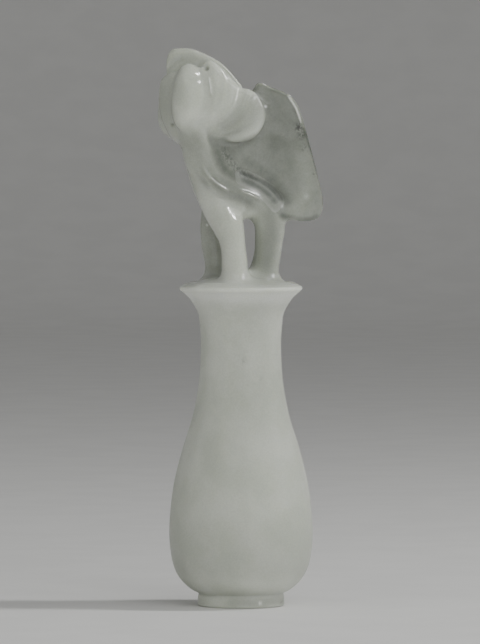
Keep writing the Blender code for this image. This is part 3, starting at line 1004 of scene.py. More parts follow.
@dataclass
class Bloom:
    """The bloom: petals round a solid heart."""

    petals: dict[str, Plate] = field(default_factory=lambda: {
        "front": Plate(
            rim=(
                (-9.1, 97.2), (-7.9, 96.7), (-6.8, 95.8), (-6.0, 94.3), (-5.6, 92.5), (-5.6, 90.7),
                (-6.3, 88.8), (-7.5, 87.0), (-9.0, 85.5), (-10.6, 85.2), (-11.7, 86.2), (-12.3, 87.8),
                (-12.45, 89.8), (-12.3, 92.0), (-11.9, 94.1), (-11.1, 96.0), (-10.3, 96.9),
            ),
            middle=(-9.1, 91.0), depth=-4.9, dome=1.1, lean=(0.15, 0.2), thickness=4.4, fullness=0.65,
        ),
        "right of the front": Plate(
            rim=(
                (-5.8, 97.8), (-4.8, 97.5), (-3.5, 96.5), (-2.0, 95.0), (-0.8, 93.6), (-0.2, 92.6),
                (-0.4, 91.2), (-1.1, 89.6), (-2.3, 88.0), (-3.9, 86.5), (-5.7, 85.2), (-7.4, 84.9),
                (-8.2, 86.8), (-8.2, 89.3), (-7.9, 92.2), (-7.4, 95.0), (-6.7, 97.0),
            ),
            middle=(-4.2, 91.4), depth=-4.2, dome=0.9, lean=(0.14, 0.12), thickness=2.3, fullness=0.6,
        ),
        "spreading": Plate(
            rim=(
                (-0.6, 92.6), (0.9, 92.7), (2.1, 92.3), (3.1, 91.3), (3.9, 90.0), (4.4, 88.6),
                (4.4, 87.0), (3.9, 85.6), (2.9, 84.3), (1.4, 83.4), (-0.5, 83.1), (-2.9, 83.1),
                (-5.0, 83.2), (-6.5, 83.4), (-7.1, 84.3), (-6.4, 85.6), (-5.0, 87.2), (-2.9, 89.0),
                (-1.6, 90.9),
            ),
            middle=(-0.4, 87.4), depth=-2.9, dome=0.3, lean=(0.16, 0.03), thickness=2.8, fullness=0.75,
            bend=0.08,
        ),
        "left": Plate(
            rim=(
                (-12.2, 95.9), (-13.2, 95.5), (-14.2, 94.5), (-14.6, 92.9), (-14.7, 91.1),
                (-14.6, 89.3), (-14.3, 87.7), (-13.8, 86.3), (-12.9, 84.9), (-11.6, 83.7),
                (-10.2, 83.2), (-8.8, 84.5), (-8.8, 89.0), (-9.5, 92.9), (-10.7, 95.4),
            ),
            middle=(-12.2, 89.9), depth=-2.6, dome=0.6, lean=(-0.6, 0.0), thickness=2.8,
        ),
        "left, under the other": Plate(
            rim=(
                (-14.5, 91.8), (-14.8, 90.0), (-14.9, 88.2), (-14.8, 86.5), (-14.1, 85.0),
                (-13.1, 84.0), (-12.0, 83.2), (-10.5, 82.4), (-8.8, 83.0), (-9.5, 86.3), (-12.4, 91.6),
            ),
            middle=(-12.6, 87.4), depth=0.0, dome=0.6, lean=(-0.45, -0.1), thickness=2.6,
        ),
        "back, the tallest": Plate(
            rim=(
                (-13.4, 95.9), (-13.4, 97.4), (-13.1, 98.8), (-12.3, 99.8), (-10.7, 100.0),
                (-8.9, 99.9), (-7.2, 99.3), (-5.5, 98.5), (-3.9, 97.6), (-2.7, 96.6), (-1.6, 95.4),
                (-0.5, 94.0), (0.3, 92.8), (-0.9, 90.7), (-4.7, 88.6), (-9.1, 88.6), (-12.3, 91.1),
                (-13.3, 93.6),
            ),
            middle=(-7.9, 94.5), depth=1.5, dome=-0.6, lean=(-0.16, -0.04), thickness=3.2, fullness=1.0,
        ),
        "back, right": Plate(
            rim=(
                (-6.5, 96.2), (-3.2, 95.2), (-0.8, 92.2), (-0.8, 88.4), (-3.0, 85.0), (-6.0, 83.6),
                (-8.0, 87.5), (-8.0, 93.0),
            ),
            middle=(-4.4, 90.3), depth=3.3, dome=-1.5, lean=(-0.10, 0.0), thickness=2.0,
        ),
        "back, left": Plate(
            rim=(
                (-9.4, 95.4), (-12.2, 94.4), (-14.0, 91.5), (-14.2, 87.9), (-12.6, 84.7), (-9.8, 83.4),
                (-7.7, 86.6), (-7.4, 91.6),
            ),
            middle=(-10.9, 89.5), depth=3.0, dome=-1.7, lean=(0.16, 0.0), thickness=2.0,
        ),
    })
    heart: tuple[Ellipsoid, ...] = (
        Ellipsoid((-6.6, -0.8, 88.6), (5.4, 3.7, 7.0)),
        Ellipsoid((-10.0, -0.8, 88.6), (3.9, 3.7, 6.2)),
        Ellipsoid((-1.8, -0.4, 88.4), (3.8, 2.9, 4.4)),
        Ellipsoid((1.5, 0.5, 87.6), (2.5, 2.0, 3.2)),
        Ellipsoid((-4.4, -1.8, 85.6), (3.6, 2.5, 2.5)),
        Ellipsoid((-5.4, -3.2, 85.0), (2.9, 2.1, 2.3)),
        Ellipsoid((-7.7, -1.6, 84.2), (3.3, 3.3, 3.9)),
    )
    fillet: float = 0.3
    polish: int = 3

    def mesh(self, voxel: float) -> bpy.types.Mesh:
        """Carves the bloom.

        Args:
            voxel: The fineness of the skin in millimetres.

        Returns:
            One fused mesh.
        """
        shape = bmesh.new()
        for petal in self.petals.values():
            petal.add_to(shape)
        for part in self.heart:
            part.add_to(shape)
        return fuse(shape, "bloom", voxel, self.fillet, self.polish)


@dataclass
class Leaf:
    """The broad leaf: a thick plate cupped towards the front."""

    rim: tuple[Point2, ...] = (
        (1.6, 92.0), (3.1, 93.8), (5.4, 93.0), (8.1, 91.9), (9.9, 90.2), (10.9, 87.8), (12.1, 83.7),
        (13.9, 76.7), (14.8, 72.4), (13.9, 69.5), (11.3, 68.9), (7.2, 69.7), (5.0, 72.2),
        (1.6, 74.9), (-1.4, 77.2), (-4.2, 80.4), (-5.8, 83.4), (-5.6, 86.5), (-2.0, 91.0),
    )
    middle: Point2 = (4.2, 81.0)
    thickness: float = 3.0
    fullness: float = 0.8
    deepest: Point3 = (7.5, 2.9, 82.4)
    axis_angle: float = -37.0
    half_width: float = 10.0
    half_length: float = 12.0
    upper_side_forward: float = 2.5
    lower_side_forward: float = 3.8
    ends_forward: float = 1.2
    turn_start: float = 7.0
    turn_back: float = 0.10
    wrap_start: float = 6.0
    wrap_end: float = -5.0
    wrap_forward: float = 3.2
    rib_height: float = 0.5
    rib_width: float = 1.0

    def along_and_across(self, x: Number, z: Number) -> tuple[Number, Number]:
        """Turns a place seen from the front to the leaf's own length and width.

        Args:
            x: The place across, as a number or an array.
            z: The place up.

        Returns:
            The distances along and across from its deepest point.
        """
        axis = math.radians(self.axis_angle)
        dx, dz = x - self.deepest[0], z - self.deepest[2]
        return dx * math.cos(axis) + dz * math.sin(axis), dz * math.cos(axis) - dx * math.sin(axis)

    def depth(self, x: Number, z: Number) -> Number:
        """Gives where the middle of its thickness lies in y.

        Args:
            x: The place across, as a number or an array.
            z: The place up.

        Returns:
            The depth.
        """
        along, across = self.along_and_across(x, z)
        side_forward = np.where(across > 0.0, self.upper_side_forward, self.lower_side_forward)
        forward = side_forward * (across / self.half_width) ** 2
        forward = forward + self.ends_forward * (along / self.half_length) ** 2
        forward = forward - self.turn_back * np.maximum(0.0, along - self.turn_start) ** 2
        forward = forward + self.wrap_forward * smoothstep(self.wrap_start, self.wrap_end, x)
        return self.deepest[1] - forward

    def outline(self) -> tuple[np.ndarray, np.ndarray]:
        """Gives the rim about its middle.

        Returns:
            The rim's angles and its distances.
        """
        middle = Vector(self.middle)
        knots = [Vector(point) - middle for point in self.rim]
        rim = curve_through(knots, spans=12, closed=True)
        angles = np.array([math.atan2(point.y, point.x) for point in rim])
        return angles, np.array([point.length for point in rim])

    def mesh(self) -> bpy.types.Mesh:
        """Carves the leaf.

        Returns:
            Its mesh.
        """
        shape = bmesh.new()
        angles, lengths = self.outline()

        def place(x: float, y: float, z: float) -> Vector:
            """Gives a sphere point's place on the leaf."""
            angle = math.atan2(y, x)
            out = math.hypot(x, y)
            reach = out * float(np.interp(angle, angles, lengths, period=math.tau))
            across = self.middle[0] + reach * math.cos(angle)
            up = self.middle[1] + reach * math.sin(angle)
            depth = float(self.depth(across, up)) + fuller(z, self.fullness) * self.thickness / 2.0
            if z > 0.0:
                rib = float(self.along_and_across(across, up)[1]) / self.rib_width
                depth += self.rib_height * math.exp(-rib * rib) * (1.0 - out**4)
            return Vector((across, depth, up))

        add_pebble(shape, place, around=160, across=96)
        return baked_mesh(object_from(shape, "leaf"), "leaf")


@dataclass
class Relief:
    """The last, fine work on the front of the carving."""

    worn: tuple[Stroke, ...] = (
        # where the petals run together into the neck
        Stroke(((-10.6, 84.4), (-9.2, 84.6), (-7.8, 84.8), (-6.4, 84.6), (-5.2, 84.2),
                (-4.2, 83.6)), 1.5, back=-1.0),
        Stroke(((-5.6, 90.4), (-6.2, 88.8), (-6.9, 87.2), (-7.7, 85.8)), 0.9, back=-1.0),
        Stroke(((-6.5, 96.2), (-6.2, 94.8), (-5.9, 93.2), (-5.7, 91.6), (-5.7, 90.2)), 0.45,
               back=-1.0),
        Stroke(((-6.0, 73.6), (-4.6, 72.8), (-3.4, 72.0), (-2.2, 71.2)), 1.2, back=-1.0),
        # beside the left petals, and where they run into the neck
        Stroke(((-12.4, 95.4), (-12.6, 93.4), (-12.65, 91.4), (-12.6, 89.4), (-12.5, 87.8),
                (-12.0, 86.0)), 0.6, back=0.0),
        Stroke(((-13.2, 83.8), (-12.2, 83.0), (-11.2, 82.2), (-10.4, 81.0)), 1.1),
        # the top of the left petal
        Stroke(((-13.8, 94.8), (-13.2, 95.4), (-12.3, 95.9), (-11.6, 96.0)), 0.7, back=0.0),
        # the right end of the spreading petal, which runs into the leaf
        Stroke(((4.2, 91.6), (4.8, 90.0), (5.0, 88.2), (4.9, 86.5), (4.2, 84.8), (3.4, 83.6)), 1.0,
               front=-3.2, back=3.0),
        # the arch's slope, which runs into the leaf
        Stroke(((-5.9, 84.6), (-5.0, 82.6), (-3.7, 80.4), (-2.3, 78.9), (-0.6, 77.5), (1.0, 76.7),
                (3.0, 75.8), (5.2, 74.6), (6.8, 72.9), (7.6, 70.8)), 1.3, front=-7.0, back=3.0),
        Stroke(((-6.8, 84.0), (-6.4, 81.8), (-5.5, 79.8), (-4.2, 78.0)), 1.2, front=-7.0,
               back=3.0),
        # where the two front stems part, and where the arch becomes a stem
        Stroke(((-0.2, 60.0), (1.5, 60.6), (3.2, 60.0)), 1.2, front=-7.0, back=4.0),
        Stroke(((7.0, 70.0), (6.6, 68.0), (6.0, 66.2)), 1.6),
    )
    passes: int = 60
    pull: float = 0.5  # how far each pass draws a point towards its neighbours
    least: float = 0.01  # a point that feels less than this share stays
    strokes: tuple[Stroke, ...] = (
        # the lip of the petal right of the front one
        Stroke(((-5.7, 94.9), (-5.5, 93.7), (-5.3, 92.3), (-5.2, 91.2)), 0.2, 0.14, back=-1.5),
        # low swellings that run down the second petal, and the ridge along its right side
        Stroke(((-4.8, 97.6), (-4.4, 94.7), (-4.5, 92.0), (-5.1, 89.3)), 0.5, 0.05, back=-1.5),
        Stroke(((-3.2, 96.5), (-2.9, 93.6), (-3.2, 90.9), (-4.5, 88.1)), 0.5, 0.08, back=-1.5),
        Stroke(((-1.8, 95.0), (-1.6, 92.4), (-2.2, 90.0), (-3.7, 87.7)), 0.4, 0.05, back=-1.5),
        Stroke(((-0.2, 93.6), (-0.5, 92.3), (-0.9, 91.0), (-1.6, 89.4), (-2.7, 88.1),
                (-4.2, 86.8)), 0.4, 0.2, back=-1.0),
        # the valley between it and the spreading petal
        Stroke(((0.6, 93.2), (0.3, 92.0), (0.0, 90.6), (-0.8, 88.8), (-2.1, 87.4), (-3.6, 86.2),
                (-5.2, 85.4)), 0.8, -0.25, back=-1.0),
        # the spreading petal: its ridge, the hollow under that, its rim and its fine ribs
        Stroke(((2.9, 90.4), (2.4, 89.4), (1.6, 88.6), (0.5, 87.4), (-0.5, 86.3), (-2.1, 85.2),
                (-3.9, 84.5)), 0.7, 0.28, back=0.5),
        Stroke(((3.8, 87.4), (3.0, 86.6), (1.6, 85.6), (-0.2, 84.8), (-2.3, 84.2), (-3.4, 83.9)),
               0.6, -0.22, back=0.5),
        Stroke(((2.2, 91.9), (2.9, 91.1), (3.4, 90.2), (3.7, 89.0)), 0.2, 0.10, back=0.5),
        Stroke(((2.2, 92.0), (1.3, 90.6), (0.8, 89.4)), 0.25, 0.08, back=0.5),
        Stroke(((2.8, 91.3), (1.9, 89.9), (1.2, 88.6)), 0.25, 0.08, back=0.5),
        Stroke(((1.4, 92.4), (0.6, 90.8), (0.2, 89.6)), 0.25, 0.07, back=0.5),
        # two small pits beside the front petal
        Stroke(((-6.2, 96.4),), 0.4, -0.9),
        Stroke(((-12.4, 86.2),), 0.25, -0.5),
        # a hollow at the left of the tallest petal, and a dip across the front one
        Stroke(((-12.9, 96.2), (-12.4, 96.8), (-11.6, 97.6), (-10.6, 98.2)), 0.6, -0.25),
        Stroke(((-9.6, 94.3), (-8.4, 94.1), (-7.2, 94.4)), 0.45, -0.1, back=-4.0),
        # the groove between the front stem and the arch
        Stroke(((-8.9, 78.8), (-8.0, 77.2), (-6.9, 75.8), (-5.5, 74.5), (-3.9, 73.5),
                (-2.6, 73.0)), 0.4, -0.15),
        # the arch's crest
        Stroke(((-7.0, 79.4), (-6.3, 77.9), (-5.5, 76.7), (-4.3, 75.6), (-3.1, 74.8),
                (-2.2, 74.3)), 0.32, 0.28, back=-2.0),
        Stroke(((-0.4, 74.5), (0.5, 74.1), (1.5, 73.7), (2.6, 73.2), (3.8, 72.7)), 0.32, 0.32,
               back=-1.5),
        # the arch's slope steepens into the leaf
        Stroke(((-0.8, 77.9), (0.8, 77.4), (2.4, 76.8), (4.0, 76.0), (5.6, 74.8), (6.8, 73.4),
                (7.6, 71.8)), 0.8, -0.4, back=1.0),
        # two polished spots on the mound
        Stroke(((0.3, 59.1),), 0.35, 0.2, back=-3.0),
        Stroke(((5.9, 59.2),), 0.32, 0.16, back=-2.0),
        # the crease where the front stem turns down
        Stroke(((-2.8, 71.6), (-2.3, 70.7), (-1.85, 69.8), (-1.4, 68.8)), 0.45, 0.13, back=-2.0),
        # the bevel along the leaf's upper right edge
        Stroke(((8.2, 91.8), (8.9, 90.9), (9.8, 89.4), (10.5, 87.7), (11.0, 86.0)), 0.25, 0.25,
               front=-3.0, back=4.0),
    )
    full_facing: float = 0.4  # how far a point faces the front where it is carved in full

    def wear(self, mesh: bpy.types.Mesh) -> None:
        """Smooths the places where the forms run together.

        Args:
            mesh: The whole stone.
        """
        points = points_of(mesh)
        share = np.clip(sum(stroke.share(points) for stroke in self.worn), 0.0, 1.0)
        ends = np.empty(len(mesh.edges) * 2, np.int32)
        mesh.edges.foreach_get("vertices", ends)
        ends = ends.reshape(-1, 2)
        ends = ends[(share[ends] > self.least).any(axis=1)]
        pulled, pulling = np.concatenate((ends, ends[:, ::-1])).T
        used, slot = np.unique(pulled, return_inverse=True)
        count = np.bincount(slot)
        for _ in range(self.passes):
            for axis in range(3):
                mean = np.bincount(slot, points[pulling, axis]) / count
                points[used, axis] += self.pull * share[used] * (mean - points[used, axis])
        mesh.vertices.foreach_set("co", (points * MM).astype(np.float32).ravel())
        mesh.update()

    def carve(self, mesh: bpy.types.Mesh) -> None:
        """Raises or sinks the stone's front along each stroke.

        Args:
            mesh: The whole stone.
        """
        points = points_of(mesh)
        normals = np.empty(len(points) * 3, np.float32)
        mesh.vertices.foreach_get("normal", normals)
        normals = normals.reshape(-1, 3)
        facing = smoothstep(0.0, self.full_facing, -normals[:, 1])
        moved = sum(stroke.height * stroke.share(points) for stroke in self.strokes) * facing
        places = (points + normals * moved[:, None]) * MM
        mesh.vertices.foreach_set("co", places.astype(np.float32).ravel())
        mesh.update()


@dataclass
class Carving:
    """Stems, bloom and leaf as one fused body."""

    stems: Stems
    bloom: Bloom
    leaf: Leaf
    relief: Relief
    voxel: float = 0.19
    joint_fillet: float = 0.4
    joint_polish: int = 5

    def mesh(self) -> bpy.types.Mesh:
        """Carves the whole group.

        Returns:
            One closed mesh.
        """
        shape = bmesh.new()
        for part in (self.stems.mesh(self.voxel), self.bloom.mesh(self.voxel), self.leaf.mesh()):
            shape.from_mesh(part)
            bpy.data.meshes.remove(part)
        mesh = fuse(shape, "carving", self.voxel, self.joint_fillet, self.joint_polish)
        log.info("carving: %d faces", len(mesh.polygons))
        return mesh


# --- the whole stone ---------------------------------------------------------------------------


@dataclass
class JadeVase:
    """The vase and its carving as one stone."""

    vase: TurnedVase
    carving: Carving
    finish: JadeFinish
    most_triangles: int = 192000
    leaf_smoke: float = 0.70
    leaf_edge: Point2 = (0.9, -0.3)  # beyond its rim: where its smoke starts and where it is full
    leaf_front: Point2 = (-1.6, -0.5)  # the same in y from its front
    # painted shade that darkens the vase towards its foot
    painted_foot_shade: float = 0.26
    painted_foot_shade_heights: Point2 = (22.0, 2.0)
    gloss_heights: Point2 = (-0.3, 0.5)  # above the mouth: where it starts and where it is full
    veins: tuple[Stroke, ...] = (
        # the neck, the arch and the right stem
        Stroke(((-8.2, 84.2), (-7.8, 82.6), (-6.8, 80.4), (-5.9, 77.9), (-4.6, 75.0)), 2.8,
               smoke_and_shade=0.5),
        Stroke(((-5.5, 80.0), (-3.4, 76.4), (-0.2, 74.6), (3.0, 73.4), (5.2, 71.8), (5.7, 68.2),
                (5.2, 64.5), (4.8, 61.0), (4.8, 55.0)), 2.4, smoke_and_shade=0.6, back=2.5),
        Stroke(((-5.6, 77.6), (-4.2, 75.6), (-2.0, 74.2), (0.6, 73.0), (2.8, 72.0)), 1.5,
               smoke_and_shade=0.67),
        # painted shade on the arch's slope, which faces up towards the key lamp
        Stroke(((-4.8, 82.8), (-4.0, 80.8), (-2.8, 78.4), (0.7, 76.1), (3.4, 75.0), (6.0, 73.8)),
               1.7, smoke_and_shade=0.82),
        # the back stem, darker as smoky stone and partly as painted shade where it stands behind the
        # front stems, with a painted highlight as a bright speck
        Stroke(((-6.6, 72.8), (-5.9, 68.2), (-5.5, 65.0), (-5.5, 60.0), (-5.5, 55.0)), 2.6,
               smoke_and_shade=0.45, front=0.8),
        Stroke(((-6.1, 68.2),), 0.16, fleck=-1.0, front=0.0, back=3.6),
        # and two painted highlights on the mound, as milky dots
        Stroke(((0.4, 59.1),), 0.24, fleck=-1.0, back=-3.0),
        Stroke(((5.7, 59.2),), 0.2, fleck=-1.0, back=-2.0),
        # the two petals on the left and the tallest, darker partly as painted shade, and painted shade
        # along the tallest's rim where it faces up
        Stroke(((-13.4, 96.5), (-13.4, 93.4), (-13.6, 89.9), (-12.9, 86.0), (-11.0, 82.0)), 1.3,
               smoke_and_shade=0.22),
        Stroke(((-13.6, 97.4), (-11.8, 97.6), (-9.3, 98.3), (-6.8, 97.6), (-5.0, 96.0)), 1.2,
               smoke_and_shade=0.14),
        Stroke(((-13.4, 98.8), (-12.2, 100.0), (-10.0, 100.2), (-7.2, 99.5), (-3.9, 97.9),
                (-1.6, 95.6), (0.6, 92.4)), 0.7, smoke_and_shade=0.26),
        # where the second petal is worn dull
        Stroke(((-6.0, 97.8), (-5.2, 97.2), (-4.6, 96.7), (-4.1, 96.2), (-3.6, 95.7)), 0.45,
               dull=1.0),
        Stroke(((-2.4, 94.4), (-1.9, 94.0), (-1.3, 93.5), (-0.6, 93.1), (0.1, 92.9)), 0.5,
               dull=1.0),
        # where the front stem turns down, and above and beyond the arch's crest: dull there, with
        # painted shade on the slope that faces up
        Stroke(((-1.6, 71.1), (-0.9, 70.7), (-0.3, 70.4)), 0.45, dull=1.0),
        Stroke(((-0.8, 76.8), (0.6, 76.3), (2.0, 75.7), (3.4, 75.0), (4.8, 74.0), (6.0, 72.8),
                (6.8, 71.4)), 1.2, smoke_and_shade=1.0, dull=1.0),
        Stroke(((-1.0, 78.0), (0.6, 77.4), (2.2, 76.7), (3.8, 75.8), (5.4, 74.6), (6.6, 73.2),
                (7.4, 71.6)), 0.8, smoke_and_shade=1.0, dull=1.0),
        Stroke(((4.0, 73.5), (4.8, 72.9), (5.6, 72.1), (6.2, 71.0)), 0.7, dull=1.0),
        # the spreading petal: painted shade where it faces down, its thin right end darker, and dull at
        # its top
        Stroke(((3.9, 91.4), (1.6, 88.0), (-0.5, 86.2), (-3.5, 84.8), (-6.6, 83.8)), 2.2,
               smoke_and_shade=0.42, back=0.0),
        Stroke(((3.8, 92.0), (4.4, 89.5), (4.6, 87.2), (3.6, 84.8), (1.6, 83.6), (-0.4, 83.0)),
               0.8, smoke_and_shade=0.5, back=1.5),
        Stroke(((0.0, 92.8), (0.9, 92.5), (1.8, 92.1), (2.6, 91.6)), 0.7, dull=1.0),
        Stroke(((3.0, 92.0), (3.8, 91.3), (4.5, 90.8), (5.2, 90.2)), 0.6, dull=1.0),
        # painted highlights as thin milky lines beside the front petal, on the second's right side and
        # round the spreading one
        Stroke(((2.7, 91.4), (3.1, 90.8), (3.5, 90.1), (3.8, 89.4)), 0.1, fleck=-0.6, back=0.5),
        Stroke(((-5.75, 94.8), (-5.55, 93.8), (-5.4, 92.8), (-5.3, 91.7)), 0.11, fleck=-0.6,
               back=-1.5),
        Stroke(((-0.45, 92.9), (-0.6, 92.1), (-0.75, 91.3), (-1.0, 90.4)), 0.13, fleck=-0.8,
               back=-1.0),
        # the milky front petal
        Stroke(((-9.0, 97.8), (-9.0, 94.5), (-9.0, 91.5), (-9.0, 88.0)), 2.6, smoke_and_shade=-0.1,
               back=-3.0),
        # the leaf's lower lobe, painted lighter where it bulges towards the light, and a painted soft
        # highlight on it
        Stroke(((10.7, 83.0), (11.2, 79.4), (11.6, 76.6), (11.4, 74.0), (10.4, 71.4), (8.5, 69.4)),
               1.8, smoke_and_shade=-0.2),
        Stroke(((11.7, 73.4),), 0.5, fleck=-0.15),
        # painted shade along its rim: the top, the right side, underneath where it turns under, and in
        # the crease along the arch
        Stroke(((2.6, 94.4), (5.4, 93.2), (8.6, 91.9)), 0.6, smoke_and_shade=0.85),
        Stroke(((10.8, 87.0), (12.0, 83.4), (13.5, 78.3), (14.8, 73.6), (14.6, 70.4)), 0.6,
               smoke_and_shade=1.0),
        Stroke(((6.6, 70.5), (7.8, 69.9), (9.5, 69.5), (11.5, 69.2), (13.2, 69.5), (14.2, 70.4)),
               1.2, smoke_and_shade=0.92),
        Stroke(((-1.2, 78.7), (0.8, 77.3), (3.0, 76.3), (5.4, 75.2), (7.0, 73.6), (8.0, 71.0)),
               1.0, smoke_and_shade=0.9, back=3.0),
        # painted shade in the hollow over the arch, darker than the leaf's own smoky stone
        Stroke(((-2.0, 81.4), (1.8, 79.4), (4.6, 77.4), (6.8, 75.3), (8.2, 73.0), (8.8, 71.0)),
               3.0, smoke_and_shade=0.82, back=3.0),
        # a painted highlight along the bevel at its upper right, and a milky dot
        Stroke(((8.3, 91.6), (8.9, 90.7), (9.8, 89.2), (10.5, 87.4), (10.9, 85.8)), 0.15,
               fleck=-0.7, back=2.4),
        Stroke(((7.5, 88.6),), 0.11, fleck=-0.8, back=2.4),
        # its dark speckles
        Stroke(((10.4, 85.8),), 0.8, fleck=1.0, back=3.0),
        Stroke(((10.9, 84.3),), 0.7, fleck=0.8, back=3.0),
        Stroke(((11.3, 82.1),), 0.6, fleck=0.6, back=3.0),
        Stroke(((13.1, 77.3),), 0.35, fleck=0.6, back=3.0),
        # dark speckles along the crease by the arch, partly painted shade in that crease
        Stroke(((-3.2, 82.4), (-2.5, 80.6), (-1.5, 79.2), (-0.2, 77.9), (1.4, 77.0), (3.0, 76.3)),
               0.8, fleck=0.5, back=3.0),
        # a painted highlight, a bright speck, at the tip of the spreading petal
        Stroke(((4.4, 89.5),), 0.2, fleck=-1.0, back=1.8),
        # a milky band under the vase's lip, painted light for the glow through the thin flared lip,
        # painted shade down the right of the neck, and the vase's own inclusions
        Stroke(((-18.0, 55.8), (-9.0, 55.8), (0.0, 55.8), (9.0, 55.8), (18.0, 55.8)), 1.4,
               fleck=-0.5),
        Stroke(((3.5, 28.0), (3.5, 38.0), (3.5, 46.0), (3.5, 56.0)), 4.5, smoke_and_shade=0.16, back=6.0),
        Stroke(((0.5, 44.2),), 0.5, fleck=0.35, back=0.0),
        Stroke(((3.6, 41.2),), 0.4, fleck=0.2, back=0.0),
        # at the foot: painted light on its left and under the belly, painted shade on its right, a dark
        # chip, and a painted glint
        Stroke(((-9.6, 1.3), (-7.4, 1.3), (-5.0, 1.3), (-2.6, 1.3)), 1.5, smoke_and_shade=-0.26),
        Stroke(((-4.0, 1.2), (0.0, 1.2), (4.0, 1.2), (7.0, 1.2), (10.0, 1.2)), 1.3, smoke_and_shade=0.42),
        Stroke(((-12.0, 4.6), (-6.0, 4.2), (0.0, 4.2), (6.0, 4.2), (12.0, 4.6)), 1.9, smoke_and_shade=-0.24),
        Stroke(((7.3, 0.9),), 0.35, fleck=0.9, back=0.0),
        Stroke(((3.4, 0.9),), 0.25, fleck=-0.8, back=0.0),
    )

    def build(self) -> bpy.types.Object:
        """Makes the stone and gives it to the frame.

        Returns:
            The finished object.
        """
        material = self.finish.material()
        vase = new_object(PIECE, self.vase.mesh(material))
        log.info("vase: %d faces", len(vase.data.polygons))
        group = new_object("carving", self.carving.mesh())
        join = vase.modifiers.new("one_stone", "BOOLEAN")
        join.operation = "UNION"
        join.solver = "MANIFOLD"
        join.object = group
        mesh = baked_mesh(vase, PIECE)
        bpy.data.objects.remove(group)
        self.carving.relief.wear(mesh)
        self.carving.relief.carve(mesh)
        mesh = self.thinned(mesh)
        mesh.materials.clear()
        mesh.materials.append(material)
        mesh.shade_smooth()
        self.dress(mesh)
        stone = new_object(PIECE, mesh)
        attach(stone, BODY)
        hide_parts(NODE)
        return stone

    def thinned(self, mesh: bpy.types.Mesh) -> bpy.types.Mesh:
        """Brings the mesh under its limit of triangles.

        Args:
            mesh: The joined mesh.

        Returns:
            A mesh of triangles.
        """
        shape = bmesh.new()
        shape.from_mesh(mesh)
        bpy.data.meshes.remove(mesh)
        bmesh.ops.triangulate(shape, faces=shape.faces)
        count = len(shape.faces)
        obj = object_from(shape, PIECE)
        if count > self.most_triangles:
            thin = obj.modifiers.new("thin", "DECIMATE")
            thin.ratio = self.most_triangles / count
        mesh = baked_mesh(obj, PIECE)
        log.info("stone: %d triangles from %d", len(mesh.polygons), count)
        return mesh

    def dress(self, mesh: bpy.types.Mesh) -> None:
        """Stores each point's smoke and painted shade, its polish, and its flecks and painted
        highlights.

        Args:
            mesh: The stone's mesh.
        """
        points = points_of(mesh)
        x, y, z = points.T
        # painted shade towards the foot
        painted_foot_shade = smoothstep(*self.painted_foot_shade_heights, z) * self.painted_foot_shade
        smoke_and_shade = np.maximum(self.leaf_share(x, y, z) * self.leaf_smoke, painted_foot_shade)
        paler, specks_and_glints, dull = (np.zeros(len(points)) for _ in range(3))
        for vein in self.veins:
            share = vein.share(points)
            smoke_and_shade = np.maximum(smoke_and_shade, vein.smoke_and_shade * share)
            paler += max(0.0, -vein.smoke_and_shade) * share
            specks_and_glints += vein.fleck * share
            dull += vein.dull * share
        mouth = self.carving.stems.mouth_height
        polish = smoothstep(*(mouth + above for above in self.gloss_heights), z)
        polish = polish * np.clip(1.0 - dull, 0.0, 1.0) - np.clip(2.0 * dull - 1.0, 0.0, 1.0)
        self.store(mesh, Trait.SMOKE, np.clip(smoke_and_shade - paler, 0.0, 1.0))
        self.store(mesh, Trait.POLISH, polish)
        self.store(mesh, Trait.SPECKS_AND_GLINTS, np.clip(specks_and_glints, -1.0, 1.0))

    def leaf_share(self, x: np.ndarray, y: np.ndarray, z: np.ndarray) -> np.ndarray:
        """Tells which points belong to the leaf.

        Args:
            x: The points' places across.
            y: Their places in depth.
            z: Their places up.

        Returns:
            A share from 0 to 1 for each point.
        """
        leaf = self.carving.leaf
        angles, lengths = leaf.outline()
        dx, dz = x - leaf.middle[0], z - leaf.middle[1]
        rim = np.interp(np.arctan2(dz, dx), angles, lengths, period=math.tau)
        inside = smoothstep(*self.leaf_edge, np.hypot(dx, dz) - rim)
        behind = smoothstep(*self.leaf_front, y - (leaf.depth(x, z) - leaf.thickness / 2.0))
        return inside * behind

    def store(self, mesh: bpy.types.Mesh, trait: Trait, values: np.ndarray) -> None:
        """Writes one number to each of the mesh's points."""
        attribute = mesh.attributes.new(trait.value, "FLOAT", "POINT")
        attribute.data.foreach_set("value", np.asarray(values, np.float32))


# --- the studio --------------------------------------------------------------------------------


@dataclass(frozen=True)
class Lamp:
    """A soft box that faces the vase."""

    name: str
    place: Point3  # from the vase's middle, in metres
    power: float
    width: float
    height: float
    mirrored: bool = True  # whether polished stone shows it

    def add(self, middle: Vector) -> None:
        """Hangs the lamp.

        Args:
            middle: The point that it faces.
        """
        data = bpy.data.lights.new(self.name, "AREA")
        data.shape = "RECTANGLE"
        data.size, data.size_y = self.width, self.height
        data.energy = self.power
        lamp = new_object(self.name, data)
        lamp.visible_glossy = self.mirrored
        lamp.location = middle + Vector(self.place)
        lamp.rotation_euler = (-Vector(self.place)).to_track_quat("-Z", "Y").to_euler()


